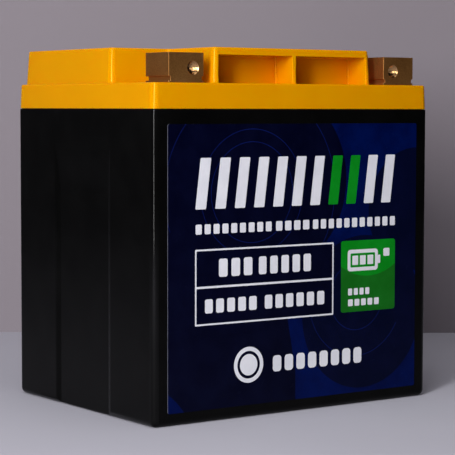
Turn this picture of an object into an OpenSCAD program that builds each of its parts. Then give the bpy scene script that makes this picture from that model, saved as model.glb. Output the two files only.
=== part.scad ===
// Sodium-ion starter battery for a motorcycle, in a standard 166 x 126 x 175 mm case.
// Origin: centre of the footprint, on the surface the battery stands on. The front is -Y.

/* [Case] */
// Width of the case, left to right
case_w = 166; // [164:1:172]
// Depth of the case, front to back
case_d = 126; // [124:1:132]
// Height of the case's rim, where the lid starts
rim_h = 146; // [145:0.5:147]
// Wall thickness of the case
case_t = 3; // [2.5:0.5:3]
// Radius of the case's upright corners
case_r = 3; // [2.5:0.5:4]
// Size of the bevel around the case's bottom edge
foot_bevel = 2; // [1:0.5:2]
// Width of the shallow panel pressed into each end of the case
panel_w = 48; // [30:1:60]
// Height of that panel above the floor
panel_h = 129; // [100:1:135]
// Depth of that panel
panel_depth = 1.2; // [0.6:0.1:1.4]

/* [Lid] */
// Height to the top of the lid's raised block
overall_h = 175; // [174:0.5:180]
// Height of the lid's deck, which the terminals stand on
deck_h = 158.2; // [158:0.1:159]
// How far the raised block stands in from the case's sides
plateau_inset = 2.5; // [2:0.5:4]
// How far each wall of the raised block leans in from foot to top
plateau_lean = 1.2; // [0.3:0.1:1.2]
// Radius of the raised block's upright corners
plateau_r = 3.3; // [2:0.1:4]
// Half the width of the raised block between the two terminal bays
bay_edge = 48; // [47:0.5:50]
// Depth of each terminal bay behind the raised block's front face
bay_d = 38; // [36:0.5:42]
// Width of each front pocket
pocket_w = 43.4; // [40:0.2:44]
// Depth of each front pocket
pocket_d = 14.3; // [10:0.1:15]
// Height of each front pocket
pocket_h = 13.3; // [10:0.1:13.6]
// Thickness of the wall between the two pockets
pocket_wall = 2.2; // [2:0.1:3]

/* [Label] */
// Width of the front label
label_w = 150.4; // [100:0.2:156]
// Height of the front label's lower edge
label_z = 6; // [4:0.5:20]
// Height of the front label's upper edge
label_top = 139.2; // [100:0.2:142]
// Thickness of the front label
label_t = 0.2; // [0.2:0.1:0.5]

/* [Terminals] */
// Width of each terminal block
terminal_w = 19.3; // [18:0.1:20]
// Depth of each terminal block, front to back
terminal_d = 19.3; // [18:0.1:20]
// Height of each terminal block above the deck
terminal_h = 13.8; // [13:0.1:15]
// Distance from the case's side to the terminal's outer face
terminal_side = 9.3; // [8:0.1:10]
// Distance from the case's front to the terminal's front face
terminal_front = 1.3; // [1:0.1:2]
// Radius of the tapped M6 holes before the thread is cut
tap_r = 2.5; // [2.3:0.1:2.6]
// Radius of the countersink at the mouth of each tapped hole
mouth_r = 3.2; // [3:0.1:3.4]

/* [Cells] */
// Radius of a cell inside its sleeve
cell_r = 16.3; // [16:0.1:16.3]
// Length of a cell over both its ends
cell_h = 140; // [139:0.5:140]
// Distance between cell centres, left to right
pitch_x = 35.5; // [35.5:0.1:36]
// Distance between cell centres, front to back
pitch_y = 36; // [35.5:0.1:36]

/* [Hidden] */
$fn = 48;
columns = 4;
rows = 3;

// heights of the stack inside the case, from the floor up
pad_z = case_t;
pad_t = 2;
sheet_t = 0.5;
bar_t = 0.8;
plate_t = 2;
lower_sheet_z = pad_z + pad_t;
lower_bar_z = lower_sheet_z + sheet_t;
lower_plate_z = lower_bar_z + bar_t;
cell_z = lower_plate_z + plate_t;
upper_plate_z = cell_z + cell_h;
upper_bar_z = upper_plate_z + plate_t;
upper_sheet_z = upper_bar_z + bar_t;
upper_pad_z = upper_sheet_z + sheet_t;

// case and lid
panel_wall_x = case_w / 2 - panel_depth - case_t;
seam_gap = 0.2;
lid_z = rim_h + seam_gap;
lid_edge = 0.3;
lid_t = 2.8;
deck_t = 3;
deck_z = deck_h - deck_t;
lid_w = case_w - 2 * lid_edge;
lid_d = case_d - 2 * lid_edge;
lid_r = 3.2;
cavity_r = 1.5;
tongue_t = 1.9;
tongue_depth = 5;
tongue_clear = 0.2;
plateau_x = case_w / 2 - plateau_inset;
plateau_y = case_d / 2 - plateau_inset;
bay_y = -plateau_y + bay_d;
block_front_r = 3.2;
ceiling_z = deck_h + pocket_h;
roof_t = 3.2;
roof_z = overall_h - roof_t;
rib_x = 62;
rib_t = 2;
rib_gap_z = 2.4;

// terminals
terminal_x = case_w / 2 - terminal_side - terminal_w / 2;
terminal_y = -case_d / 2 + terminal_front + terminal_d / 2;
terminal_top = deck_h + terminal_h;
hole_in = 6;
front_hole_z = 6.8;
front_hole_depth = 13;
top_hole_depth = 11;
boss_r = 6;
boss_z = deck_z - 1;
seal_seat_r = 8.5;
seal_r = 0.75;
neck_z = deck_h + 1;
neck_h = 1.9;
neck_depth = 1;
strap_t = 1.2;
washer_t = 0.5;
screw_head_h = 2;
screw_head_r = 4.25;
screw_r = 2.05;
screw_grip = 5;
thread_gap = 0.05;

// cell parts
sleeve_t = 0.15;
sleeve_gap = 0.05;
socket_r = cell_r + sleeve_t + sleeve_gap + 0.2;
socket_depth = 12;
window_r = 11.5;
cap_h = 2;
cap_r = 10;
holder_edge_x = 1.55;
holder_edge_y = 1.8;
holder_x = (columns - 1) / 2 * pitch_x + socket_r + holder_edge_x;
holder_y = (rows - 1) / 2 * pitch_y + socket_r + holder_edge_y;

// conductors
bar_w = 20;
weld_r = 8;
slot_w = 1;
slot_l = 9;
strap_w = 12;
foot_y0 = -44;
foot_y1 = -28;
arm_y0 = terminal_y - strap_w / 2 + 1;
arm_y1 = foot_y0;

// balance board and harness
board_w = 84;
board_d = 48;
board_t = 1.6;
standoff_h = 4;
standoff_r = 2.8;
stud_r = 1.45;
board_screw_r = 1.2;
board_screw_l = 2.5;
board_z = upper_pad_z + standoff_h;
board_top = board_z + board_t;
post_x = pitch_x;
post_y = pitch_y / 2;
header_w = 15;
header_d = 6;
header_h = 4;
header_y = board_d / 2 - header_d;
plug_h = 3.5;
wire_r = 0.7;
bend_r = 2;
tap_y = 42;
riser_y = 55.6;
wire_run_z = board_top + header_h + plug_h + bend_r + 0.3;
wire_pitch = 2.5;

// ---------- shared shapes ----------

function col_x(c) = (c - (columns - 1) / 2) * pitch_x;
function row_y(r) = (r - (rows - 1) / 2) * pitch_y;

// true where a column's cells stand with their positive cap up
function cap_up(c) = c % 2 == 1;

module rounded_rect(w, d, r) {
    square([w - 2 * r, d], center = true);
    square([w, d - 2 * r], center = true);
    for (x = [-1, 1])
        for (y = [-1, 1])
            translate([x * (w / 2 - r), y * (d / 2 - r)])
                circle(r);
}

module slab(w, d, r, z0, z1) {
    translate([0, 0, z0])
        linear_extrude(z1 - z0)
            rounded_rect(w, d, r);
}

module box(x0, x1, y0, y1, z0, z1) {
    translate([x0, y0, z0])
        cube([x1 - x0, y1 - y0, z1 - z0]);
}

// A block with rounded upright corners, whose sides lean in from the foot to the top.
module drafted_block(x0, x1, y0, y1, z0, z1, r, lean) {
    translate([0, y1 - r, 0])
        rotate([90, 0, 0])
            linear_extrude(y1 - y0 - 2 * r)
                polygon([[x0, z0], [x1, z0], [x1 - lean, z1], [x0 + lean, z1]]);
    translate([x0 + r, 0, 0])
        rotate([90, 0, 90])
            linear_extrude(x1 - x0 - 2 * r)
                polygon([[y0, z0], [y1, z0], [y1 - lean, z1], [y0 + lean, z1]]);
    for (x = [x0 + r, x1 - r])
        for (y = [y0 + r, y1 - r])
            translate([x, y, z0])
                cylinder(h = z1 - z0, r1 = r, r2 = r - lean);
}

module at_cells() {
    for (c = [0 : columns - 1])
        for (r = [0 : rows - 1])
            translate([col_x(c), row_y(r), 0])
                children();
}

module both_sides() {
    for (side = [-1, 1])
        on_side(side)
            children();
}

module on_side(side) {
    if (side < 0)
        mirror([1, 0, 0])
            children();
    else
        children();
}

// ---------- case ----------

module case_outside() {
    slab(case_w, case_d, case_r, foot_bevel, rim_h);
    mirror([0, 0, 1])
        drafted_block(-case_w / 2, case_w / 2, -case_d / 2, case_d / 2,
            -foot_bevel, 0, case_r, foot_bevel);
}

module case_inside() {
    inner_r = 1.5;
    difference() {
        slab(case_w - 2 * case_t, case_d - 2 * case_t, inner_r, case_t, rim_h + 1);
        for (side = [-1, 1])
            translate([side * (panel_wall_x + case_t), 0, 0])
                box(-case_t, case_t, -panel_w / 2 - case_t, panel_w / 2 + case_t, 0, panel_h + case_t);
    }
}

module case_body() {
    color([0.05, 0.05, 0.055])
        difference() {
            case_outside();
            case_inside();
            for (side = [-1, 1])
                translate([side * case_w / 2, 0, 0])
                    box(-panel_depth, panel_depth, -panel_w / 2, panel_w / 2, -1, panel_h);
        }
}

// ---------- lid ----------

module plateau(grow, z0, z1, lean) {
    x = plateau_x + grow;
    r = max(plateau_r + grow, cavity_r);
    drafted_block(-x, x, bay_y - grow, plateau_y + grow, z0, z1, r, lean);
}

module nose(grow, y0, z0, z1, lean) {
    x = bay_edge + grow;
    drafted_block(-x, x, y0, plateau_y / 2, z0, z1, block_front_r, lean);
}

module lid_outside() {
    slab(lid_w, lid_d, lid_r, lid_z, deck_h);
    plateau(0, deck_h, overall_h, plateau_lean);
    nose(0, -plateau_y, deck_h, overall_h, plateau_lean);
}

module lid_hollow() {
    back_of_pocket = -plateau_y + pocket_d + lid_t;
    lip = 2 * (case_t + tongue_clear);
    slab(case_w - lip - 2 * tongue_t, case_d - lip - 2 * tongue_t, 1, lid_z - 1, deck_z);
    plateau(-lid_t, deck_z - 0.5, deck_h, 0);
    plateau(-lid_t, deck_h, roof_z, plateau_lean);
    nose(-lid_t, back_of_pocket, deck_z - 0.5, deck_h, 0);
    nose(-lid_t, back_of_pocket, deck_h, roof_z, plateau_lean);
}

module lid_tongue() {
    w = case_w - 2 * (case_t + tongue_clear);
    d = case_d - 2 * (case_t + tongue_clear);
    difference() {
        slab(w, d, 1.5, rim_h - tongue_depth, deck_z);
        slab(w - 2 * tongue_t, d - 2 * tongue_t, 1, rim_h - tongue_depth - 1, deck_z + 1);
    }
}

module pockets() {
    front_y = -plateau_y - 5;
    back_y = -plateau_y + pocket_d;
    both_sides()
        box(pocket_wall / 2, pocket_wall / 2 + pocket_w, front_y, back_y, deck_h, ceiling_z);
}

module lid_ribs() {
    both_sides()
        box(rib_x - rib_t / 2, rib_x + rib_t / 2, 0, plateau_y - lid_t / 2,
            upper_pad_z + rib_gap_z, roof_z + lid_t / 2);
}

module lid() {
    color([0.91, 0.56, 0.02]) {
        difference() {
            lid_outside();
            lid_hollow();
            pockets();
            both_sides()
                translate([terminal_x, terminal_y, 0]) {
                    translate([0, 0, deck_z - 1])
                        cylinder(h = deck_t + 2, r = boss_r + 0.1);
                    translate([0, 0, deck_h - 2 * seal_r])
                        cylinder(h = 2 * seal_r + 1, r = seal_seat_r);
                }
        }
        lid_tongue();
        lid_ribs();
    }
}

module lid_adhesive_bead() {
    outset = 1;
    color([0.12, 0.11, 0.1])
        difference() {
            slab(case_w - 2 * outset, case_d - 2 * outset, case_r - outset, rim_h, lid_z);
            slab(case_w - 2 * case_t, case_d - 2 * case_t, 1.5, rim_h - 1, lid_z + 1);
        }
}

module front_label() {
    corner_r = 1;
    mid_z = (label_z + label_top) / 2;
    color([0.01, 0.02, 0.14])
        translate([0, -case_d / 2, mid_z])
            rotate([90, 0, 0])
                linear_extrude(label_t)
                    rounded_rect(label_w, label_top - label_z, corner_r);
}

// ---------- terminals ----------

module tapped_hole(depth) {
    sink = mouth_r - tap_r;
    translate([0, 0, -depth])
        cylinder(h = depth + 1, r = tap_r);
    translate([0, 0, -sink])
        cylinder(h = sink, r1 = tap_r, r2 = mouth_r);
    cylinder(h = 1, r = mouth_r);
}

// The right-hand terminal, whose front hole is nearer the middle of the battery.
module terminal() {
    color([0.56, 0.38, 0.2])
        difference() {
            union() {
                box(terminal_x - terminal_w / 2, terminal_x + terminal_w / 2,
                    terminal_y - terminal_d / 2, terminal_y + terminal_d / 2, deck_h, terminal_top);
                translate([terminal_x, terminal_y, boss_z])
                    cylinder(h = deck_h - boss_z, r = boss_r);
            }
            terminal_neck();
            translate([terminal_x - terminal_w / 2 + hole_in, terminal_y - terminal_d / 2, deck_h + front_hole_z])
                rotate([90, 0, 0])
                    tapped_hole(front_hole_depth);
            translate([terminal_x + terminal_w / 2 - hole_in, terminal_y, terminal_top])
                tapped_hole(top_hole_depth);
            translate([terminal_x, terminal_y, boss_z - 1])
                cylinder(h = screw_grip + 2, r = screw_r + thread_gap);
        }
}

// A groove round the sides and back of the block, just above the deck.
module terminal_neck() {
    side = terminal_w / 2 - neck_depth;
    back = terminal_y + terminal_d / 2 - neck_depth;
    for (x0 = [terminal_x - terminal_w, terminal_x + side])
        box(x0, x0 + terminal_w / 2 + neck_depth, terminal_y - terminal_d, terminal_y + terminal_d,
            neck_z, neck_z + neck_h);
    box(terminal_x - terminal_w, terminal_x + terminal_w, back, back + neck_depth + 1,
        neck_z, neck_z + neck_h);
}

module terminal_negative() {
    on_side(-1)
        terminal();
}

module terminal_positive() {
    terminal();
}

module terminal_seals() {
    color([0.06, 0.06, 0.06])
        both_sides()
            translate([terminal_x, terminal_y, deck_h - seal_r])
                rotate_extrude()
                    translate([boss_r + 0.15 + seal_r, 0])
                        circle(seal_r);
}

module terminal_screws() {
    socket_r = 1.8;
    head_z = boss_z - strap_t - washer_t;
    color([0.72, 0.72, 0.74])
        both_sides()
            translate([terminal_x, terminal_y, 0])
                difference() {
                    union() {
                        translate([0, 0, head_z - screw_head_h])
                            cylinder(h = screw_head_h, r = screw_head_r);
                        translate([0, 0, head_z])
                            cylinder(h = washer_t + strap_t + screw_grip, r = screw_r);
                    }
                    translate([0, 0, head_z - screw_head_h - 1])
                        cylinder(h = 2.2, r = socket_r, $fn = 6);
                }
}

module terminal_washers() {
    color([0.78, 0.78, 0.8])
        both_sides()
            translate([terminal_x, terminal_y, boss_z - strap_t - washer_t])
                linear_extrude(washer_t)
                    difference() {
                        circle(5);
                        circle(screw_r + 0.15);
                    }
}

// ---------- straps and busbars ----------

// The right-hand strap: a foot on the busbar, a step up, and an arm under the terminal.
module strap() {
    x0 = col_x(columns - 1) - strap_w / 2;
    x1 = terminal_x + strap_w / 2;
    arm_z = boss_z - strap_t;
    color([0.72, 0.43, 0.25])
        difference() {
            union() {
                box(x0, x0 + strap_w, foot_y0, foot_y1, upper_sheet_z, upper_sheet_z + strap_t);
                box(x0, x0 + strap_w, foot_y0 - strap_t, foot_y0, upper_sheet_z, boss_z);
                box(x0, x1, arm_y0, arm_y1 - strap_t, arm_z, boss_z);
            }
            translate([terminal_x, terminal_y, arm_z - 1])
                cylinder(h = strap_t + 2, r = screw_r + 0.15);
        }
}

module negative_strap() {
    on_side(-1)
        strap();
}

module positive_strap() {
    strap();
}

// Flat copper between z0 and z0 + bar_t, with pads that reach plate_t towards the cells.
module busbar(cols, z0, pad_dir) {
    end_y = row_y(rows - 1);
    span = (len(cols) - 1) * pitch_x;
    mid_x = (col_x(cols[0]) + col_x(cols[len(cols) - 1])) / 2;
    weld_z = pad_dir > 0 ? z0 + bar_t : z0 - plate_t;
    color([0.8, 0.79, 0.76])
        difference() {
            union() {
                translate([mid_x, 0, z0])
                    linear_extrude(bar_t)
                        rounded_rect(span + bar_w, 2 * end_y + bar_w, bar_w / 2 - 0.01);
                for (c = cols)
                    for (r = [0 : rows - 1])
                        translate([col_x(c), row_y(r), weld_z])
                            cylinder(h = plate_t, r = weld_r);
            }
            for (c = cols)
                for (r = [0 : rows - 1])
                    translate([col_x(c), row_y(r), 0])
                        box(-slot_w / 2, slot_w / 2, -slot_l / 2, slot_l / 2,
                            z0 - plate_t - 1, z0 + plate_t + 2);
        }
}

module negative_busbar() {
    busbar([0], upper_bar_z, -1);
}

module center_busbar() {
    busbar([1, 2], upper_bar_z, -1);
}

module positive_busbar() {
    busbar([3], upper_bar_z, -1);
}

module link_with_tab(cols) {
    tab_w = 6;
    mid_x = (col_x(cols[0]) + col_x(cols[1])) / 2;
    color([0.8, 0.79, 0.76]) {
        busbar(cols, lower_bar_z, 1);
        box(mid_x - tab_w / 2, mid_x + tab_w / 2, row_y(rows - 1), riser_y + 1.2,
            lower_bar_z, lower_bar_z + bar_t);
    }
}

module left_link_busbar() {
    link_with_tab([0, 1]);
}

module right_link_busbar() {
    link_with_tab([2, 3]);
}

// ---------- cells ----------

// One cell standing on its negative end, from z = 0.
module cell_can() {
    can_h = cell_h - cap_h;
    groove_z = can_h - 6;
    groove_r = 1;
    color([0.76, 0.77, 0.78]) {
        difference() {
            cylinder(h = can_h, r = cell_r);
            translate([0, 0, groove_z])
                rotate_extrude()
                    translate([cell_r, 0])
                        circle(groove_r);
        }
        translate([0, 0, can_h])
            cylinder(h = cap_h, r = cap_r);
    }
}

// Puts a child made for a cell with its cap up into the given place of the pack.
module in_place(c, r) {
    translate([col_x(c), row_y(r), cell_z])
        if (cap_up(c))
            children();
        else
            translate([0, 0, cell_h])
                rotate([180, 0, 0])
                    children();
}

module cell(n) {
    in_place(floor((n - 1) / rows), (n - 1) % rows)
        cell_can();
}

module for_each_cell() {
    for (c = [0 : columns - 1])
        for (r = [0 : rows - 1])
            in_place(c, r)
                children();
}

module cell_sleeves() {
    inside_r = cell_r + sleeve_gap;
    end_gap = 0.3;
    color([0.1, 0.35, 0.62])
        for_each_cell()
            translate([0, 0, end_gap])
                linear_extrude(cell_h - cap_h - 2 * end_gap)
                    difference() {
                        circle(inside_r + sleeve_t);
                        circle(inside_r);
                    }
}

module cell_cap_rings() {
    ring_t = 0.4;
    color([0.93, 0.93, 0.9])
        for_each_cell()
            translate([0, 0, cell_h - cap_h])
                linear_extrude(ring_t)
                    difference() {
                        circle(cell_r - 0.8);
                        circle(cap_r + 0.3);
                    }
}

// ---------- cell holders ----------

// A holder with its end plate at z = 0 and its sockets opening upwards.
module cell_holder() {
    difference() {
        slab(2 * holder_x, 2 * holder_y, 6, 0, plate_t + socket_depth);
        at_cells() {
            translate([0, 0, plate_t])
                cylinder(h = socket_depth + 1, r = socket_r);
            translate([0, 0, -1])
                cylinder(h = plate_t + 2, r = window_r);
        }
    }
}

module lower_cell_holder() {
    color([0.16, 0.16, 0.17])
        translate([0, 0, lower_plate_z])
            cell_holder();
}

module upper_cell_holder() {
    color([0.16, 0.16, 0.17])
        difference() {
            translate([0, 0, upper_plate_z + plate_t])
                mirror([0, 0, 1])
                    cell_holder();
            at_posts()
                translate([0, 0, upper_plate_z - 5])
                    cylinder(h = plate_t + 6, r = stud_r);
        }
}

// ---------- pads and sheets ----------

module base_pad() {
    color([0.3, 0.3, 0.31])
        slab(2 * holder_x, 2 * holder_y, 6, pad_z, pad_z + pad_t);
}

module side_pads() {
    pad_l = 96;
    color([0.3, 0.3, 0.31])
        both_sides()
            box(holder_x + 0.2, panel_wall_x - 0.2, -pad_l / 2, pad_l / 2, 10, 140);
}

module front_pad() {
    color([0.3, 0.3, 0.31])
        box(-60, 60, -case_d / 2 + case_t + 0.2, -holder_y - 0.2, 10, 140);
}

module rear_pad() {
    color([0.3, 0.3, 0.31])
        box(-30, 30, holder_y + 0.2, case_d / 2 - case_t - 0.2, 10, 140);
}

module top_front_pad() {
    color([0.3, 0.3, 0.31])
        box(-41, 41, -54, -47, upper_bar_z, deck_z);
}

module top_rear_pads() {
    pad_w = 8;
    color([0.3, 0.3, 0.31])
        both_sides()
            box(rib_x - pad_w / 2, rib_x + pad_w / 2, 6, 52, upper_pad_z, upper_pad_z + rib_gap_z);
}

module lower_insulator() {
    color([0.85, 0.83, 0.72])
        slab(2 * holder_x - 1, 2 * holder_y - 1, 6, lower_sheet_z, lower_sheet_z + sheet_t);
}

module upper_insulator() {
    front_y = -46;
    back_y = 54;
    side_x = 70;
    notch_x = col_x(columns - 1) - strap_w / 2 - 1;
    color([0.85, 0.83, 0.72])
        difference() {
            box(-side_x, side_x, front_y, back_y, upper_sheet_z, upper_pad_z);
            both_sides()
                box(notch_x, notch_x + strap_w + 2, front_y - 1, foot_y1 + 1, upper_sheet_z - 1, upper_pad_z + 1);
            at_posts()
                translate([0, 0, upper_sheet_z - 1])
                    cylinder(h = sheet_t + 2, r = stud_r + 0.2);
            for (x = [col_x(0), 0, col_x(columns - 1)])
                translate([x, tap_y, upper_sheet_z - 1])
                    cylinder(h = sheet_t + 2, r = wire_r + 0.5);
        }
}

// ---------- balance board ----------

module at_posts() {
    for (x = [-post_x, post_x])
        for (y = [-post_y, post_y])
            translate([x, y, 0])
                children();
}

module balance_board() {
    hole_r = 1.6;
    color([0.05, 0.32, 0.16])
        difference() {
            slab(board_w, board_d, 2, board_z, board_top);
            at_posts()
                translate([0, 0, board_z - 1])
                    cylinder(h = board_t + 2, r = hole_r);
        }
}

module board_chips() {
    color([0.07, 0.07, 0.08]) {
        box(-5, 5, -6, 4, board_top, board_top + 1.6);
        for (n = [0 : columns - 1])
            translate([(n - (columns - 1) / 2) * 15, -16, 0])
                box(-3.2, 3.2, -2.4, 2.4, board_top, board_top + 1.5);
    }
}

module bleed_resistors() {
    per_cell = 3;
    color([0.12, 0.12, 0.13])
        for (n = [0 : columns - 1])
            for (k = [0 : per_cell - 1])
                translate([(n - (columns - 1) / 2) * 15 + (k - 1) * 4.2, -9.5, 0])
                    box(-1.6, 1.6, -3.1, 0, board_top, board_top + 0.7);
}

module board_header() {
    color([0.92, 0.9, 0.84])
        box(-header_w / 2, header_w / 2, header_y, header_y + header_d, board_top, board_top + header_h);
}

module harness_plug() {
    plug_w = header_w - 1;
    plug_d = header_d - 1;
    color([0.95, 0.94, 0.9])
        translate([0, header_y + header_d / 2, 0])
            box(-plug_w / 2, plug_w / 2, -plug_d / 2, plug_d / 2,
                board_top + header_h, board_top + header_h + plug_h);
}

module board_standoffs() {
    color([0.9, 0.9, 0.88])
        at_posts()
            difference() {
                union() {
                    translate([0, 0, upper_pad_z])
                        cylinder(h = standoff_h, r = standoff_r, $fn = 6);
                    translate([0, 0, upper_plate_z])
                        cylinder(h = upper_pad_z - upper_plate_z, r = stud_r - thread_gap);
                }
                translate([0, 0, board_z - board_screw_l - 0.5])
                    cylinder(h = standoff_h, r = board_screw_r + thread_gap);
            }
}

module board_screws() {
    color([0.75, 0.75, 0.77])
        at_posts() {
            translate([0, 0, board_z - board_screw_l])
                cylinder(h = board_t + board_screw_l, r = board_screw_r);
            translate([0, 0, board_top])
                cylinder(h = 1.6, r = 2.7);
        }
}

// ---------- balance harness ----------

// A quarter bend that starts at the origin going up and ends going towards +X.
module elbow() {
    translate([bend_r, 0, 0])
        rotate([90, 0, 0])
            rotate([0, 0, 90])
                rotate_extrude(angle = 90)
                    translate([bend_r, 0])
                        circle(wire_r);
}

module run_x(from, to) {
    translate([min(from, to), 0, 0])
        rotate([0, 90, 0])
            cylinder(h = abs(to - from), r = wire_r);
}

module run_y(from, to) {
    translate([0, from, 0])
        rotate([-90, 0, 0])
            cylinder(h = to - from, r = wire_r);
}

module run_z(from, to) {
    translate([0, 0, from])
        cylinder(h = to - from, r = wire_r);
}

// One lead: up out of the plug, back over the board, across, and down to its tap.
module lead(n, to_x, to_y, to_z) {
    from_x = (n - 2) * wire_pitch;
    from_y = header_y + header_d / 2;
    side = sign(to_x - from_x);
    straight = side == 0;
    translate([from_x, from_y, 0])
        run_z(board_top + header_h + plug_h, wire_run_z - bend_r);
    translate([from_x, from_y, wire_run_z - bend_r])
        rotate([0, 0, 90])
            elbow();
    translate([from_x, 0, wire_run_z])
        run_y(from_y + bend_r, to_y - bend_r);
    if (!straight) {
        translate([from_x, to_y - bend_r, wire_run_z])
            rotate([-90, 0, 0])
                rotate([0, 0, side > 0 ? 0 : 180])
                    elbow();
        translate([0, to_y, wire_run_z])
            run_x(from_x + side * bend_r, to_x - side * bend_r);
    }
    translate([to_x, to_y, wire_run_z - bend_r])
        rotate([0, 0, straight ? -90 : side > 0 ? 180 : 0])
            elbow();
    translate([to_x, to_y, 0])
        run_z(to_z, wire_run_z - bend_r);
}

module balance_harness() {
    link_top = lower_bar_z + bar_t;
    left_x = (col_x(0) + col_x(1)) / 2;
    color([0.75, 0.1, 0.08]) {
        lead(0, col_x(0), tap_y, upper_sheet_z);
        lead(1, left_x, riser_y, link_top);
        lead(2, 0, tap_y, upper_sheet_z);
        lead(3, -left_x, riser_y, link_top);
        lead(4, col_x(columns - 1), tap_y, upper_sheet_z);
    }
}

case_body();
lid();
lid_adhesive_bead();
front_label();
terminal_negative();
terminal_positive();
terminal_seals();
terminal_screws();
terminal_washers();
negative_strap();
positive_strap();
negative_busbar();
center_busbar();
positive_busbar();
left_link_busbar();
right_link_busbar();
lower_cell_holder();
upper_cell_holder();
cell_sleeves();
cell_cap_rings();
base_pad();
side_pads();
front_pad();
rear_pad();
top_front_pad();
top_rear_pads();
lower_insulator();
upper_insulator();
balance_board();
board_chips();
bleed_resistors();
board_header();
harness_plug();
balance_harness();
board_standoffs();
board_screws();
for (n = [1 : columns * rows])
    cell(n);
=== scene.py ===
import math

import bmesh
import bpy
from mathutils import Matrix, Vector
from mathutils.geometry import delaunay_2d_cdt


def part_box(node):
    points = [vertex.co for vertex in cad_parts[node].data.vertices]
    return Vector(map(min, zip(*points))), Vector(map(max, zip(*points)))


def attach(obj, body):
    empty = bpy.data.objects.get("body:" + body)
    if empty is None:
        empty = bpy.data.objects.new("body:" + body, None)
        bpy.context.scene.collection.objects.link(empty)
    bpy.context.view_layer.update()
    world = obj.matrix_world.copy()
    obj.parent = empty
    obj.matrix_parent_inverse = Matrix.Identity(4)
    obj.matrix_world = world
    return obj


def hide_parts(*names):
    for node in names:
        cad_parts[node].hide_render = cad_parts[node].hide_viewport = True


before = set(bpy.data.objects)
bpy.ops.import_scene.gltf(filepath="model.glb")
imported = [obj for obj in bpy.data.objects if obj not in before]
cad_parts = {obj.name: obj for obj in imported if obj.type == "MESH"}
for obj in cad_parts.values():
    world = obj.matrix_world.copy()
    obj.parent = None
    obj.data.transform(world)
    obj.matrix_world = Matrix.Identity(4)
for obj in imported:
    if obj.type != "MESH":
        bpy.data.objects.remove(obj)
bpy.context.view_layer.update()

# Geometry is drawn in millimetres and scaled to metres as it becomes an object.
MM = 0.001
UP = Vector((0, 0, 1))

# ---------- sizes, in millimetres ----------

CASE_CORNER_R = 3.0
CASE_FOOT_R = 3.2
CASE_RIM_R = 0.5
CASE_WALL = 3.0
CAVITY_R = 1.5
PANEL_HALF_W = 24.0
PANEL_TOP = 129.0
PANEL_DEPTH = 1.2
PANEL_CORNER_R = 2.0
PANEL_RAMP = 4.0
PANEL_TOP_RAMP = 26.0

LID_CORNER_R = 3.2
DECK_TOP = 158.2
DECK_T = 3.0
DECK_EDGE_R = 0.8
DECK_LEAN = 0.5
LID_WALL = 2.8
LID_FOOT = 146.2
BLOCK_INSET = 2.5
BLOCK_LEAN = 1.2
BLOCK_CORNER_R = 3.3
BLOCK_EDGE_R = 0.9
BLOCK_FOOT_R = 0.4
NOSE_HALF_W = 48.0
NOSE_CORNER_R = 3.2
BAY_CORNER_R = 0.8
BAY_DEPTH = 38.0
POCKET_W = 43.4
POCKET_D = 14.3
POCKET_H = 13.3
POCKET_WALL = 2.2
POCKET_EDGE_R = 0.6
ROOF_T = 3.2
TONGUE_OUT = 3.2
TONGUE_T = 1.9
RIB_X = 62.0
RIB_T = 2.0

TERMINAL_HOLE_IN = 6.0
TERMINAL_HOLE_UP = 6.8
FRONT_HOLE_DEPTH = 13.0
TOP_HOLE_DEPTH = 11.0
NECK_UP = 1.0
NECK_H = 1.9
NECK_DEPTH = 1.0
BOSS_R = 6.0
TAP_R = 2.5
THREAD_H = 0.5
THREAD_PITCH = 1.0
MOUTH_R = 3.2
SCREW_R = 2.0
SEAT_R = 8.5
SEAT_DEPTH = 1.5

COLUMNS, ROWS = 4, 3
PITCH_X, PITCH_Y = 35.5, 36.0
CELL_R = 16.3
CAP_R = 10.0
CAP_H = 2.0
SLEEVE_T = 0.15
SOCKET_R = 16.7
WINDOW_R = 11.5
PLATE_T = 2.0
BAR_T = 0.8
BAR_HALF_W = 10.0
WELD_R = 8.0
STRAP_W = 12.0
STRAP_T = 1.2
FOOT_FRONT, FOOT_BACK = -44.0, -28.0
POSTS = [(x, y) for x in (-35.5, 35.5) for y in (-18.0, 18.0)]
STUD_R = 1.45
WIRE_R = 0.7
WIRE_BEND = 2.0
WIRE_PITCH = 2.5
CHIP_PITCH = 15
RESISTOR_PITCH = 4.2
SIDE_PAD_INNER_X = 72.15
TOP_PAD_INNER_X = 58.0

PHOTO_AZIMUTH, PHOTO_ELEVATION, PHOTO_ROLL = 35.539, 3.909, 0.126  # degrees


def node_box(node):
    """Lowest and highest corner of a CAD node, in millimetres."""
    low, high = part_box(node)
    return low / MM, high / MM


def terminal_spot(side):
    """Centre, from above, of the left (-1) or right (1) terminal block."""
    low, high = node_box("terminal_positive" if side > 0 else "terminal_negative")
    return (low.x + high.x) / 2, (low.y + high.y) / 2


# ---------- mesh helpers ----------

def rounded_outline(corners, steps=8):
    """(point, outward normal) pairs round a polygon of (x, y, radius) corners, counterclockwise."""
    outline = []
    for i, (x, y, radius) in enumerate(corners):
        here = Vector((x, y))
        before = (here - Vector(corners[i - 1][:2])).normalized()
        after = (Vector(corners[(i + 1) % len(corners)][:2]) - here).normalized()
        left = Vector((-before.y, before.x))
        side = 1 if before.x * after.y > before.y * after.x else -1
        turn = before.angle(after)
        centre = here - before * radius * math.tan(turn / 2) + left * radius * side
        start = math.atan2(-left.y * side, -left.x * side)
        for k in range(steps + 1):
            angle = start + side * turn * k / steps
            radial = Vector((math.cos(angle), math.sin(angle)))
            outline.append((centre + radial * radius, radial * side))
    return outline


def rectangle(x0, x1, y0, y1, radius, steps=8):
    corners = [(x0, y0, radius), (x1, y0, radius), (x1, y1, radius), (x0, y1, radius)]
    return rounded_outline(corners, steps)


def full_turn(count):
    """(cosine, sine) at equal steps round a circle."""
    angles = [2 * math.pi * i / count for i in range(count)]
    return [(math.cos(angle), math.sin(angle)) for angle in angles]


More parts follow.
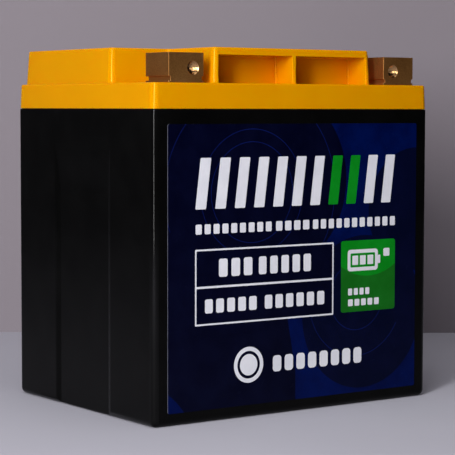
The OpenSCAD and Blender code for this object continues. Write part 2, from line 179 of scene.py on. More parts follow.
def quarter(start, end, leaves_along, steps):
    """(height, inset) levels along a quarter round; it leaves its start along the wall or the flat."""
    levels = []
    for k in range(steps + 1):
        angle = math.pi / 2 * k / steps
        early, late = math.sin(angle), 1 - math.cos(angle)
        up, across = (early, late) if leaves_along == "wall" else (late, early)
        levels.append((start[0] + (end[0] - start[0]) * up, start[1] + (end[1] - start[1]) * across))
    return levels


def foot_round(height, radius, steps, inset=0):
    """Levels round a lower rim, from its flat up into its wall."""
    return quarter((height, inset + radius), (height + radius, inset), "flat", steps)


def top_round(height, radius, steps, inset=0):
    """Levels round an upper rim, from its wall over onto its flat."""
    return quarter((height - radius, inset), (height, inset + radius), "wall", steps)


def upright(point, height):
    return (point.x, point.y, height)


def skin(bm, rings):
    """A closed solid through rings of points that match one to one."""
    loops = [[bm.verts.new(point) for point in ring] for ring in rings]
    for lower, upper in zip(loops, loops[1:]):
        for i, vert in enumerate(lower):
            j = (i + 1) % len(lower)
            bm.faces.new((vert, lower[j], upper[j], upper[i]))
    bm.faces.new(list(reversed(loops[0])))
    bm.faces.new(loops[-1])


def loft(bm, outline, levels, place=upright):
    """Skins an outline through levels of (height, inset)."""
    skin(bm, [[place(point - normal * inset, height) for point, normal in outline]
              for height, inset in levels])


def prism(bm, plan, low, high):
    """An upright solid with sharp edges."""
    skin(bm, [[(x, y, height) for x, y in plan] for height in (low, high)])


def rounded_block(bm, low, high, radius, edge, steps=4):
    """A box with rounded upright corners and rounded rims."""
    outline = rectangle(low[0], high[0], low[1], high[1], radius, steps)
    loft(bm, outline, foot_round(low[2], edge, 3) + top_round(high[2], edge, 3))


def lathe(bm, profile, x=0.0, y=0.0, steps=48, flip=None):
    """Turns a closed profile of (radius, height) about an upright axis; radius 0 closes an end."""
    turn = full_turn(steps)
    rings = []
    for radius, height in profile:
        level = height if flip is None else flip - height
        ring = turn if radius > 0 else turn[:1]
        rings.append([bm.verts.new((x + radius * c, y + radius * s, level)) for c, s in ring])
    closed = profile[0][0] > 0
    for lower, upper in zip(rings, rings[1:] + rings[:1] if closed else rings[1:]):
        for i in range(steps):
            j = (i + 1) % steps
            a, b = ((ring[i % len(ring)], ring[j % len(ring)]) for ring in (lower, upper))
            unique = list(dict.fromkeys((a[0], a[1], b[1], b[0])))
            if len(unique) > 2:
                bm.faces.new(unique)


def turned(profile, places, steps=48, flip=None):
    """Draws the same turned shape at each (x, y) place."""
    def draw(bm):
        for x, y in places:
            lathe(bm, profile, x, y, steps, flip)
    return draw


def drawing(draw, *details):
    """A draw(bm) whose other details are already given."""
    return lambda bm: draw(bm, *details)


def blocks(boxes, radius, edge, steps=4):
    """Draws a rounded block in each (lowest corner, highest corner) box."""
    def draw(bm):
        for low, high in boxes:
            rounded_block(bm, low, high, radius, edge, steps)
    return draw


def solid(*points):
    """A profile of (radius, height) points with its two ends closed onto the axis."""
    return [(0, points[0][1]), *points, (0, points[-1][1])]


def rod(radius, low, high):
    return solid((radius, low), (radius, high))


def arc(radius, height, size, start, stop, steps=4):
    """(radius, height) points round a small arc; angles in degrees, 0 pointing outwards."""
    angles = [math.radians(start + (stop - start) * k / steps) for k in range(steps + 1)]
    return [(radius + size * math.cos(a), height + size * math.sin(a)) for a in angles]


def threads(places, low, high, radius, pitch=0.8, around=24):
    """Draws an upright screw thread with closed ends at each (x, y) place."""
    rings = []
    for j in range(round((high - low) / pitch * 6) + 1):
        height = min(high, low + j * pitch / 6)
        ring = []
        for i, (c, s) in enumerate(full_turn(around)):
            phase = ((height - low) / pitch - i / around) % 1
            size = radius - 0.45 * pitch * min(1, abs(phase - 0.5) / 0.4)
            ring.append(Vector((size * c, size * s, height)))
        rings.append(ring)

    def draw(bm):
        for x, y in places:
            skin(bm, [[point + Vector((x, y, 0)) for point in ring] for ring in rings])
    return draw


def rounded_path(points, radius, steps=6):
    """A polyline whose right-angled corners are rounded."""
    path = [Vector(points[0])]
    for before, here, after in zip(points, points[1:], points[2:]):
        back = (Vector(before) - Vector(here)).normalized() * radius
        on = (Vector(after) - Vector(here)).normalized() * radius
        centre = Vector(here) + back + on
        for k in range(steps + 1):
            angle = math.pi / 2 * k / steps
            path.append(centre - on * math.cos(angle) - back * math.sin(angle))
    return path + [Vector(points[-1])]


def tube(bm, path, radii, around=14):
    """A round tube along a path, with one radius for each of its points."""
    ahead, behind = path[1:] + [path[-1]], [path[0]] + path
    tangents = [(b - a).normalized() for a, b in zip(behind, ahead) if (b - a).length]
    side = tangents[0].orthogonal().normalized()
    rings = []
    for point, radius, tangent in zip(path, radii, tangents):
        side = (side - tangent * side.dot(tangent)).normalized()
        other = tangent.cross(side)
        rings.append([point + (side * c + other * s) * radius for c, s in full_turn(around)])
    skin(bm, rings)


def painted(bm, index, draw, *details):
    """Draws something whose faces all take material number index."""
    before = len(bm.faces)
    draw(bm, *details)
    for face in list(bm.faces)[before:]:
        face.material_index = index


def new_object(name, data):
    made = bpy.data.objects.new(name, data)
    bpy.context.scene.collection.objects.link(made)
    return made


def piece_from(name, draw):
    """A new object whose mesh is drawn, in millimetres, by draw(bm)."""
    bm = bmesh.new()
    draw(bm)
    bmesh.ops.recalc_face_normals(bm, faces=bm.faces)
    bmesh.ops.scale(bm, vec=(MM, MM, MM), verts=bm.verts)
    mesh = bpy.data.meshes.new(name)
    bm.to_mesh(mesh)
    bm.free()
    return new_object(name, mesh)


def apply_modifiers(piece):
    graph = bpy.context.evaluated_depsgraph_get()
    mesh = bpy.data.meshes.new_from_object(piece.evaluated_get(graph))
    piece.modifiers.clear()
    piece.data = mesh


def combine_with(piece, operation, tool):
    """UNION or DIFFERENCE of a piece with another object, which is used up."""
    modifier = piece.modifiers.new("combine", "BOOLEAN")
    modifier.operation = operation
    modifier.solver = "EXACT"
    modifier.object = tool
    apply_modifiers(piece)
    bpy.data.objects.remove(tool)


def combine(piece, operation, *draws):
    """UNION or DIFFERENCE of a piece with solids drawn by each draw(bm) in turn."""
    for draw in draws:
        combine_with(piece, operation, piece_from("tool", draw))


def both(draw):
    """The draws of one solid for the left side (-1) and the right side (1)."""
    return [lambda bm, side=side: draw(bm, side) for side in (-1, 1)]


def bevel(piece, width, segments=2, angle=40):
    modifier = piece.modifiers.new("bevel", "BEVEL")
    modifier.width = width * MM
    modifier.segments = segments
    modifier.limit_method = "ANGLE"
    modifier.angle_limit = math.radians(angle)


def smooth(piece, angle=35):
    """Smooth shading that stays flat on the flats."""
    mesh = piece.data
    mesh.polygons.foreach_set("use_smooth", [True] * len(mesh.polygons))
    mesh.set_sharp_from_angle(angle=math.radians(angle))
    modifier = piece.modifiers.new("normals", "WEIGHTED_NORMAL")
    modifier.keep_sharp = True


def coat(piece, materials):
    for material in materials:
        piece.data.materials.append(material)


def finish_piece(piece, materials, slot, *nodes):
    """Materials, shading, the body it rides on, and the CAD nodes it stands for."""
    if not piece.data.materials:
        coat(piece, materials)
    smooth(piece)
    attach(piece, "root")
    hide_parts(*nodes)
    return piece


def make(name, draw, materials, slot, node, join=(), cut=()):
    """A finished piece from its first solid, those joined to it, and those then cut from it."""
    piece = piece_from(name, draw)
    combine(piece, "UNION", *join)
    combine(piece, "DIFFERENCE", *cut)
    return finish_piece(piece, materials, slot, node)


def dress(node, material):
    """A CAD node that stays, with a better material."""
    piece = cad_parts[node]
    piece.data.materials.clear()
    coat(piece, [material])
    smooth(piece)


# ---------- materials ----------

def rgb(red, green, blue):
    """Linear colour from sRGB values of 0 to 255."""
    def linear(value):
        share = value / 255
        return share / 12.92 if share <= 0.04045 else ((share + 0.055) / 1.055) ** 2.4
    return (linear(red), linear(green), linear(blue), 1.0)


BACKGROUND = rgb(150, 143, 151)


def feed(tree, socket, value):
    """Links a socket to another one, or sets its value."""
    if isinstance(value, bpy.types.NodeSocket):
        tree.links.new(value, socket)
    else:
        socket.default_value = value


def add_node(tree, kind, **inputs):
    node = tree.nodes.new(kind)
    for name, value in inputs.items():
        feed(tree, node.inputs[name.replace("_", " ")], value)
    return node


def map_range(tree, value, low, high, start, stop):
    """Maps a value between start and stop to one between low and high."""
    limits = {"From_Min": start, "From_Max": stop, "To_Min": low, "To_Max": high}
    return add_node(tree, "ShaderNodeMapRange", Value=value, **limits).outputs["Result"]


def mix_shaders(tree, factor, first, second, output):
    """Sends a mix of two shaders to the named output node."""
    mix = add_node(tree, "ShaderNodeMixShader", Fac=factor)
    tree.links.new(first, mix.inputs[1])
    tree.links.new(second, mix.inputs[2])
    tree.links.new(mix.outputs["Shader"], tree.nodes[output].inputs["Surface"])


class Recipe:
    """A node material in the making: one Principled shader, and helpers that add to it."""

    def __init__(self, name, **uniform):
        self.material = bpy.data.materials.new(name)
        self.material.use_nodes = True
        self.tree = self.material.node_tree
        self.shader = self.tree.nodes["Principled BSDF"]
        self.set(**uniform)
        self.place = self.node("ShaderNodeTexCoord").outputs["Object"]
        self.bump = None

    def set(self, **inputs):
        """Values or links for the shader's own sockets."""
        for name, value in inputs.items():
            feed(self.tree, self.shader.inputs[name.replace("_", " ")], value)
        return self

    def node(self, kind, **inputs):
        return add_node(self.tree, kind, **inputs)

    def compute(self, operation, *values, kind="ShaderNodeMath"):
        """A Math or Vector Math node on the values given."""
        made = self.node(kind)
        made.operation = operation
        for socket, value in zip(made.inputs, values):
            feed(self.tree, socket, value)
        return made.outputs["Value"]

    def stretched(self, x, y, z):
        return self.node("ShaderNodeMapping", Vector=self.place, Scale=(x, y, z)).outputs["Vector"]

    def noise(self, scale, detail=3.0, roughness=0.55, vector=None):
        """Noise from 0 to 1; scale is in waves per metre."""
        vector = vector or self.place
        made = self.node("ShaderNodeTexNoise", Vector=vector, Scale=scale, Detail=detail, Roughness=roughness)
        return made.outputs["Fac"]

    def cells(self, scale):
        return self.node("ShaderNodeTexVoronoi", Vector=self.place, Scale=scale).outputs["Distance"]

    def ramp(self, value, *stops):
        """A colour ramp through (position, colour) stops."""
        made = self.node("ShaderNodeValToRGB", Fac=value)
        elements = made.color_ramp.elements
        while len(elements) < len(stops):
            elements.new(0.5)
        for element, (position, colour) in zip(elements, stops):
            element.position = position
            element.color = colour
        return made.outputs["Color"]

    def spread(self, value, low, high, start=0.3, stop=0.7):
        return map_range(self.tree, value, low, high, start, stop)

    def colour(self, value, *stops):
        return self.set(Base_Color=self.ramp(value, *stops))

    def gloss(self, value, low, high):
        return self.set(Roughness=self.spread(value, low, high))

    def relief(self, height, distance, strength=1.0):
        """Adds a bump of the given height, in millimetres, on top of those before it."""
        made = self.node("ShaderNodeBump", Height=height, Distance=distance * MM, Strength=strength)
        if self.bump:
            feed(self.tree, made.inputs["Normal"], self.bump)
        self.bump = made.outputs["Normal"]
        return self.set(Normal=self.bump)


def mottled(name, dark, light, scale, rough, grain, height, specular=0.5):
    """The usual finish: mottled colour from two sRGB triples, uneven gloss and a fine relief."""
    recipe = Recipe(name, Specular_IOR_Level=specular)
    recipe.colour(recipe.noise(scale), (0.35, rgb(*dark)), (0.65, rgb(*light)))
    recipe.gloss(recipe.noise(scale * 2.3, 4), *rough)
    return recipe.relief(recipe.noise(grain, 4), height)


def case_plastic(name, specular, roughness):
    recipe = mottled(name, (4, 4, 4), (6, 6, 6), 60, roughness, 1500, 0.008, specular)
    return recipe.relief(recipe.noise(70, 2), 0.05, 0.6).material


def lid_plastic():
    """Amber plastic with painted shade: ambient occlusion mixes a deeper orange into its hollows and corners,
    in place of light bounced between its own walls.
    """
    painted_bounce_orange, open_dark, open_light = (0.84, 0.2, 0.0, 1), (0.66, 0.275, 0.0, 1), (0.69, 0.29, 0.0, 1)
    recipe = Recipe("lid_amber", Specular_IOR_Level=0.16, Specular_Tint=(1.0, 0.82, 0.2, 1))
    recipe.set(Subsurface_Weight=0.4, Subsurface_Radius=(1.0, 0.22, 0.03), Subsurface_Scale=4 * MM)
    # Painted shade: the deeper orange is painted where ambient occlusion finds walls close by.
    painted_bounce_mask = recipe.node("ShaderNodeAmbientOcclusion", Distance=14 * MM)
    painted_bounce_mask.samples = 8
    mix = recipe.node("ShaderNodeMix")
    mix.data_type = "RGBA"
    feed(recipe.tree, mix.inputs[0], recipe.spread(painted_bounce_mask.outputs["AO"], 0.55, 0.0, 0.1, 0.7))
    feed(recipe.tree, mix.inputs[6], recipe.ramp(recipe.noise(30), (0.35, open_dark), (0.65, open_light)))
    feed(recipe.tree, mix.inputs[7], painted_bounce_orange)
    recipe.set(Base_Color=mix.outputs[2])
    recipe.gloss(recipe.noise(70, 4), 0.14, 0.2)
    recipe.relief(recipe.noise(1400, 4), 0.006)
    return recipe.relief(recipe.noise(60, 2), 0.04, 0.4).material


def plain(name, *look, **more):
    return mottled(name, *look, **more).material


def print_ink(name, dark, light):
    return plain(name, dark, light, 90, (0.2, 0.28), 900, 0.006, specular=0.05)


def terminal_brass():
    """Dull brown brass: a fine sandy speckle over faint tarnish, and very fine milling lines."""
    recipe = Recipe("aged_brass", Metallic=0.9)
    tarnish = recipe.noise(60, 3)
    speckle = recipe.noise(2600, 3, 0.7)
    blend = recipe.compute("MULTIPLY_ADD", speckle, 0.75, recipe.spread(tarnish, 0.04, 0.2))
    recipe.colour(blend, (0.3, rgb(148, 98, 50)), (0.5, rgb(182, 126, 66)), (0.68, rgb(204, 148, 84)))
    recipe.gloss(speckle, 0.34, 0.48)
    recipe.relief(recipe.noise(900, 3, 0.6, recipe.stretched(0.1, 0.1, 3)), 0.008, 0.5)
    return recipe.relief(recipe.noise(2600, 2), 0.008, 0.5).material


def cut_brass():
    """The fresher metal where the thread was cut."""
    recipe = Recipe("cut_brass", Metallic=1.0)
    recipe.colour(recipe.noise(500, 3), (0.3, rgb(164, 122, 78)), (0.7, rgb(196, 154, 106)))
    recipe.gloss(recipe.noise(900, 3), 0.14, 0.24)
    return recipe.relief(recipe.noise(3000, 2), 0.004, 0.5).material


def plain_metal(name, dark, light, rough=(0.2, 0.34), stretch=(1, 1, 1)):
    """Bare or plated metal from two sRGB triples, brushed along the axis that stretch makes small."""
    recipe = Recipe(name, Metallic=1.0)
    brushed = recipe.noise(400, 4, 0.6, recipe.stretched(*stretch))
    recipe.colour(recipe.noise(110, 4), (0.3, rgb(*dark)), (0.7, rgb(*light)))
    recipe.gloss(brushed, *rough)
    return recipe.relief(brushed, 0.008, 0.6).material


def foam_material():
    recipe = mottled("closed_cell_foam", (52, 52, 55), (70, 70, 73), 240, (0.8, 0.95), 2600, 0.03, 0.2)
    recipe.relief(recipe.cells(1300), 0.25, 0.8)
    return recipe.relief(recipe.noise(150, 3), 0.2, 0.5).material


# ---------- case ----------

def case_shell():
    low, high = node_box("case_body")

    levels = foot_round(low.z, CASE_FOOT_R, 7) + top_round(high.z, CASE_RIM_R, 4)
    outside = drawing(loft, rectangle(low.x, high.x, low.y, high.y, CASE_CORNER_R, 10), levels)
    inset = CASE_WALL
    outline = rectangle(low.x + inset, high.x - inset, low.y + inset, high.y - inset, CAVITY_R)
    cavity = drawing(loft, outline, foot_round(inset, 1, 4) + [(high.z + 1, 0)])

    def backing(bm, side):
        """The wall behind an end panel, left standing in the cavity."""
        ends = sorted((side * (high.x - PANEL_DEPTH - CASE_WALL), side * (high.x + 1)))
        reach = PANEL_HALF_W + CASE_WALL
        rounded_block(bm, (ends[0], -reach, -5), (ends[1], reach, PANEL_TOP + CASE_WALL), 1, 0.5)

    def panel(bm, side):
        """A shallow panel whose sides ramp in softly, and which fades out towards its top."""
        steps, below, proud = 12, -9, 1
        rings = []
        for share in [None] + [k / steps for k in range(steps + 1)]:
            ramp = share or 0
            depth = -proud if share is None else PANEL_DEPTH * (1 - math.cos(math.pi * ramp)) / 2 + 0.005
            half_w = PANEL_HALF_W + PANEL_RAMP * (0.5 - ramp)
            top = PANEL_TOP + 2 - PANEL_TOP_RAMP * ramp
            outline = rounded_outline([
                (-half_w, below, 3), (half_w, below, 3),
                (half_w, top, PANEL_CORNER_R), (-half_w, top, PANEL_CORNER_R),
            ])
            rings.append([(side * (high.x - depth), p.x, p.y) for p, _ in outline])
        skin(bm, rings)

    hollow = piece_from("hollow", cavity)
    combine(hollow, "DIFFERENCE", *both(backing))
    shell = piece_from("case_shell", outside)
    combine(shell, "DIFFERENCE", *both(panel))
    combine_with(shell, "DIFFERENCE", hollow)
    coat(shell, [case_plastic("case_black", 0.06, (0.14, 0.2)),
                 case_plastic("case_black_polished", 0.13, (0.06, 0.09))])
    for face in shell.data.polygons:
        centre = face.center / MM
        rounded = abs(centre.x) > high.x - CASE_CORNER_R and abs(centre.y) > high.y - CASE_CORNER_R
        if rounded and abs(face.normal.z) < 0.5:
            face.material_index = 1
    return finish_piece(shell, [], "case_plastic", "case_body")


# ---------- lid ----------

def block_outline(side_x, rear_y, front_y, nose_x, bay_y, radii, steps=8):
    """The T-shaped plan of the lid's raised block; radii are corner, nose and inside corner."""
    corner, nose, inside = radii
    return rounded_outline([
        (-nose_x, front_y, nose), (nose_x, front_y, nose),
        (nose_x, bay_y, inside), (side_x, bay_y, corner),
        (side_x, rear_y, corner), (-side_x, rear_y, corner),
        (-side_x, bay_y, corner), (-nose_x, bay_y, inside),
    ], steps)


def lid_shell():
    low, high = node_box("lid")
    case_high = node_box("case_body")[1]
    side_x = case_high.x - BLOCK_INSET
    rear_y = case_high.y - BLOCK_INSET
    bay_y = -rear_y + BAY_DEPTH

    levels = foot_round(LID_FOOT, 0.25, 3, -DECK_LEAN / 2)
    levels += top_round(DECK_TOP, DECK_EDGE_R, 5, DECK_LEAN / 2)
    deck = drawing(loft, rectangle(low.x, high.x, low.y, high.y, LID_CORNER_R, 10), levels)

    radii = (BLOCK_CORNER_R, NOSE_CORNER_R, BAY_CORNER_R)
    outline = block_outline(side_x, rear_y, -rear_y, NOSE_HALF_W, bay_y, radii)
    lean = BLOCK_LEAN * (1 - BLOCK_EDGE_R / (high.z - DECK_TOP))
    foot = BLOCK_FOOT_R
    levels = [(DECK_TOP - 1, -foot)] + quarter((DECK_TOP, -foot), (DECK_TOP + foot, 0), "flat", 4)
    block = drawing(loft, outline, levels + top_round(high.z, BLOCK_EDGE_R, 6, lean))

    def pocket(bm, side):
        """Cuts one front pocket; it reaches below the deck, which fills it again."""
        x0, edge, start = POCKET_WALL / 2, POCKET_EDGE_R, BLOCK_LEAN / 2
        outline = rectangle(x0, x0 + POCKET_W, DECK_TOP - 0.6, DECK_TOP + POCKET_H, 0.4, 4)
        levels = [(-2, -edge)] + quarter((start, -edge), (start + edge, 0), "flat", 4)
        levels += top_round(POCKET_D, 0.4, 4)
        loft(bm, outline, levels, lambda point, depth: (side * point.x, -rear_y + depth, point.y))

    def under(inset, radius, levels):
        """A solid inside the case's rim, which it follows at an inset."""
        x, y = case_high.x - inset, case_high.y - inset
        return drawing(loft, rectangle(-x, x, -y, y, radius), levels)

    tongue = under(TONGUE_OUT, 1.5, foot_round(low.z, 0.4, 3) + [(LID_FOOT + 4, 0)])
    levels = [(low.z - 1, 0)] + top_round(DECK_TOP - DECK_T, 0.4, 3)
    lower_hollow = under(TONGUE_OUT + TONGUE_T, 1, levels)
    front_y = -rear_y + POCKET_D + LID_WALL
    outline = block_outline(side_x - LID_WALL, rear_y - LID_WALL, front_y, NOSE_HALF_W - LID_WALL,
                            bay_y + LID_WALL, (1.5, 1.8, 1.2))
    levels = [(DECK_TOP - DECK_T - 1, 0), (DECK_TOP, 0)]
    upper_hollow = drawing(loft, outline, levels + top_round(high.z - ROOF_T, 0.5, 4, BLOCK_LEAN - 0.1))

    def rib(bm, side):
        x = side * RIB_X
        start = (x - RIB_T / 2, 0, LID_FOOT + 7.8)
        rounded_block(bm, start, (x + RIB_T / 2, rear_y - LID_WALL / 2, high.z - ROOF_T / 2), 0.3, 0.3)

    def seat(bm, side):
        foot, step, top = DECK_TOP - DECK_T - 1, DECK_TOP - SEAT_DEPTH, DECK_TOP + 1
        boss_r = BOSS_R + 0.1
        profile = solid((boss_r, foot), (boss_r, step), (SEAT_R, step), (SEAT_R, top))
        lathe(bm, profile, *terminal_spot(side), 64)

    raised = piece_from("raised", block)
    combine(raised, "DIFFERENCE", *both(pocket))
    shell = piece_from("lid_shell", deck)
    combine_with(shell, "UNION", raised)
    combine(shell, "UNION", tongue)
    combine(shell, "DIFFERENCE", lower_hollow, upper_hollow)
    combine(shell, "UNION", *both(rib))
    combine(shell, "DIFFERENCE", *both(seat))
    return finish_piece(shell, [lid_plastic()], "lid_plastic", "lid")


# ---------- terminals ----------

def thread_radius(depth, turn):
    """Radius of a tapped hole at a depth and a share of a turn."""
    phase = (depth / THREAD_PITCH - turn) % 1
    tooth = (0.45 - abs(phase - 0.5)) / 0.35
    cut = TAP_R + THREAD_H * min(1, max(0, tooth))
    return max(cut, MOUTH_R - max(depth, 0))


def tapped_hole(bm, place, depth, around=40, per_pitch=10):
    """A tapped hole to be cut out; place turns (across, up, depth) into a point."""
    turn = full_turn(around)
    rings = []
    for j in range(round((depth + 1) * per_pitch) + 1):
        here = -1 + j / per_pitch
        radii = [thread_radius(here, i / around) for i in range(around)]
        rings.append([place(radius * c, radius * s, here) for radius, (c, s) in zip(radii, turn)])
    rings.append([place(0.1 * c, 0.1 * s, depth + 1.4) for c, s in turn])
    skin(bm, rings)


def shine_threads(piece, mouths):
    """Gives the faces inside each tapped hole the second material.

    A mouth is its centre, its inward axis and its depth.
    """
    for face in piece.data.polygons:
        for centre, inward, depth in mouths:
            offset = face.center / MM - centre
            along = offset.dot(inward)
            if -0.01 < along < depth and (offset - inward * along).length < MOUTH_R + 0.02:
                if abs(face.normal.dot(inward)) < 0.98 or along > 1:
                    face.material_index = 1


def terminal_block(name, node, side, metals):
    low, high = node_box(node)
    deck = DECK_TOP
    middle = (low + high) / 2
    inner_x, outer_x = (low.x, high.x) if side > 0 else (high.x, low.x)

    plan = [(low.x, low.y), (high.x, low.y), (high.x, high.y), (low.x, high.y)]
    body = drawing(prism, plan, deck, high.z)
    left, right, back = low.x + NECK_DEPTH, high.x - NECK_DEPTH, high.y - NECK_DEPTH
    far = 3
    west, east, south, north = low.x - far, high.x + far, low.y - far, high.y + far
    plan = [
        (west, south), (left, south), (left, back), (right, back),
        (right, south), (east, south), (east, north), (west, north),
    ]
    neck = drawing(prism, plan, deck + NECK_UP, deck + NECK_UP + NECK_H)

    boss = solid((BOSS_R - 0.4, low.z), (BOSS_R, low.z + 0.4), (BOSS_R, deck + 0.5))
    screw_r = SCREW_R + 0.05
    screw_hole = [(0, low.z - 1), (SCREW_R + 0.6, low.z - 1), (screw_r, low.z + 0.5), (screw_r, low.z + 5),
                  (0, low.z + 6)]
    front_mouth = Vector((inner_x + side * TERMINAL_HOLE_IN, low.y, deck + TERMINAL_HOLE_UP))
    top_mouth = Vector((outer_x - side * TERMINAL_HOLE_IN, middle.y, high.z))

    front_hole = drawing(tapped_hole, lambda a, b, d: front_mouth + Vector((a, d, b)), FRONT_HOLE_DEPTH)
    top_hole = drawing(tapped_hole, lambda a, b, d: top_mouth + Vector((-a, b, -d)), TOP_HOLE_DEPTH)

    piece = piece_from(name, body)
    combine(piece, "DIFFERENCE", neck)
    bevel(piece, 0.16, 3)
    apply_modifiers(piece)
    combine(piece, "UNION", turned(boss, [middle.xy], 64))
    combine(piece, "DIFFERENCE", turned(screw_hole, [middle.xy], 40), front_hole, top_hole)
    coat(piece, metals)
    mouths = (front_mouth, Vector((0, 1, 0)), FRONT_HOLE_DEPTH), (top_mouth, -UP, TOP_HOLE_DEPTH)
    shine_threads(piece, mouths)
    return finish_piece(piece, metals, "terminal_brass", node)


# ---------- label ----------

class Artwork:
    """Flat printed shapes in millimetres from the label's lower left corner; later ones lie on top."""

    def __init__(self):
        self.shapes = []

    def polygon(self, ink, points, within=0):
        """Adds a counterclockwise outline, printed only inside an earlier shape; returns its number."""
        self.shapes.append((ink, [Vector(point[:2]) for point in points], within))
        return len(self.shapes) - 1

    def box(self, ink, u0, u1, v0, v1, radius=0.4, steps=4):
        return self.polygon(ink, [point for point, _ in rectangle(u0, u1, v0, v1, radius, steps)])

    def disc(self, ink, u, v, radius, within=0, steps=96):
        self.polygon(ink, [(u + radius * c, v + radius * s) for c, s in full_turn(steps)], within)

    def ring(self, ink, u, v, radius, width, start=0, stop=360):
        """An arc of a ring, drawn as pieces of up to a third of a turn."""
        parts = max(1, math.ceil((stop - start) / 120))
        step = (stop - start) / parts
        for part in range(parts):
            first = start + part * step
            angles = [math.radians(first + step * k / 32) for k in range(33)]
            outer = [(u + radius * math.cos(a), v + radius * math.sin(a)) for a in angles]
            inside = radius - width
            inner = [(u + inside * math.cos(a), v + inside * math.sin(a)) for a in reversed(angles)]
            self.polygon(ink, outer + inner)

    def row(self, ink, u0, u1, v0, v1, count, gap, radius=0.4, lean=0.0):
        """Equal blocks in a row, in place of a line of text."""
        width = (u1 - u0 - gap * (count - 1)) / count
        for k in range(count):
            start = u0 + k * (width + gap)
            points = [point for point, _ in rectangle(start, start + width, v0, v1, radius, 3)]
            slope = lean / (v1 - v0)
            self.polygon(ink, [(p.x + (p.y - v0) * slope, p.y) for p in points])


def printed_sheet(name, shapes, inks, edge, corner, upward, backward):
    """A sheet with flat printed shapes on its face; it starts at corner and runs along +X and upward."""
    names = list(inks)

    def draw(bm):
        points, faces = [], []
        for _, outline, _ in shapes:
            faces.append(list(range(len(points), len(points) + len(outline))))
            points += outline
        made = delaunay_2d_cdt(points, [], faces, 1, 1e-4, True)
        verts = [bm.verts.new(corner + Vector((p.x, 0, 0)) + upward * p.y) for p in made[0]]
        for corners, sources in zip(made[2], made[5]):
            if 0 in sources:
                face = bm.faces.new([verts[i] for i in corners])
                top = max(number for number in sources if shapes[number][2] in sources)
                face.material_index = names.index(shapes[top][0])
        loose = [vert for vert in bm.verts if not vert.link_faces]
        bmesh.ops.delete(bm, geom=loose, context="VERTS")
        rim = [edge for edge in bm.edges if edge.is_boundary]
        skirt = bmesh.ops.extrude_edge_only(bm, edges=rim)["geom"]
        for item in skirt:
            if isinstance(item, bmesh.types.BMVert):
                item.co += backward
            if isinstance(item, bmesh.types.BMFace):
                item.material_index = names.index(edge)
        free = [edge for edge in bm.edges if edge.is_boundary]
        for face in bmesh.ops.edgeloop_fill(bm, edges=free)["faces"]:
            face.material_index = names.index(edge)

    return piece_from(name, draw)


def label_artwork(width, height):
    art = Artwork()
    art.box("navy", 0, width, 0, height, 1, 6)
    art.polygon("blue", [(74, -5), (width + 5, -5), (width + 5, height + 5), (88, height + 5),
                         (90, 75), (76, 60), (69, 40), (74, 14)])
    art.disc("navy", 62, 106, 43)
    art.disc("deep", width, 90, 31)
    art.disc("deep", 116, 40, 38)
    art.disc("blue", -22, -22, 38)
    for radius in (24, 30):
        art.ring("arc", 48, 101, radius, 0.35)
    art.ring("arc", 48, 101, 50, 0.35, -60, 200)
    art.ring("arc", 112, 48, 17, 0.35)
    art.ring("arc", 112, 48, 30, 0.35, 180, 330)

    # a gauge of slanted bars, two of them green, where the photo has its largest words
    left, right = 15.2, 136.4
    bars, bar_w, lean, green = 11, 6.0, 3.0, (7, 8)
    step = (right - lean - bar_w - left) / (bars - 1)
    for k in range(bars):
        start = left + k * step
        art.row("green" if k in green else "white", start, start + bar_w, 93.8, 117.6, 1, 0, 0.5, lean)
    for start, stop, count in ((15.4, 59.3, 9), (61.9, 82.1, 4), (84.3, 136.6, 11)):
        art.row("white", start, stop, 82.2, 86.8, count, 1.6, 0.6)

    table = (15.1, 97.3, 39.6, 75.2)
    line = 0.8
    art.box("white", *table)
    art.box("navy", table[0] + line, table[1] - line, 57.9, table[3] - line, 0.2)
    art.box("navy", table[0] + line, table[1] - line, table[2] + line, 56.9, 0.2)
    for u0, u1, v0, v1, count, gap, radius in (
        (28.6, 48.0, 61.9, 70.4, 3, 2.2, 1.0), (51.8, 83.2, 61.9, 70.4, 5, 2.2, 1.0),
        (20.7, 50.6, 45.2, 51.8, 5, 1.9, 0.9), (55.4, 91.6, 45.2, 51.8, 6, 1.9, 0.9),
    ):
        art.row("white", u0, u1, v0, v1, count, gap, radius)

    tile = art.box("leaf", 102, 136.8, 40.2, 75.5, 1.3)
    art.disc("green", 119.4, 88.4, 30.7, tile)
    art.box("white", 106.2, 125.6, 60.4, 71.0, 1.6)
    art.box("green", 108.0, 123.8, 62.2, 69.2, 0.6)
    art.row("white", 109.2, 122.6, 63.4, 68.0, 3, 1.2, 0.3)
    art.box("white", 125.6, 127.2, 63.6, 67.8, 0.4)
    art.box("white", 129.2, 133.2, 67.0, 71.0, 0.8)
    art.row("white", 106.6, 120.2, 48.5, 51.9, 4, 1.1, 0.5)
    art.row("white", 106.6, 126.4, 43.1, 46.5, 5, 1.1, 0.5)

    art.disc("white", 46, 19.2, 8.6)
    art.ring("navy", 46, 19.2, 6.6, 1.5)
    art.row("white", 60.3, 115.4, 14.6, 22.4, 8, 2.0, 1.6)
    return art.shapes


def front_label():
    low, high = node_box("front_label")
    shapes = label_artwork(high.x - low.x, high.z - low.z)
    inks = {
        "navy": print_ink("ink_navy", (2, 3, 24), (4, 6, 30)),
        "blue": print_ink("ink_blue", (0, 9, 56), (0, 14, 68)),
        "deep": print_ink("ink_deep_navy", (2, 6, 32), (4, 8, 38)),
        "arc": print_ink("ink_arc_blue", (8, 18, 70), (10, 22, 78)),
        "white": print_ink("ink_white", (214, 214, 222), (222, 222, 229)),
        "green": print_ink("ink_green", (8, 126, 24), (12, 134, 30)),
        "leaf": print_ink("ink_leaf_green", (18, 96, 22), (22, 104, 28)),
        "edge": print_ink("film_edge", (120, 122, 140), (140, 142, 158)),
    }
    printed = printed_sheet("label_film", shapes, inks, "edge", low, UP, Vector((0, high.y - low.y, 0)))
    return finish_piece(printed, inks.values(), "label_film", "front_label")


# ---------- cells and their holders ----------

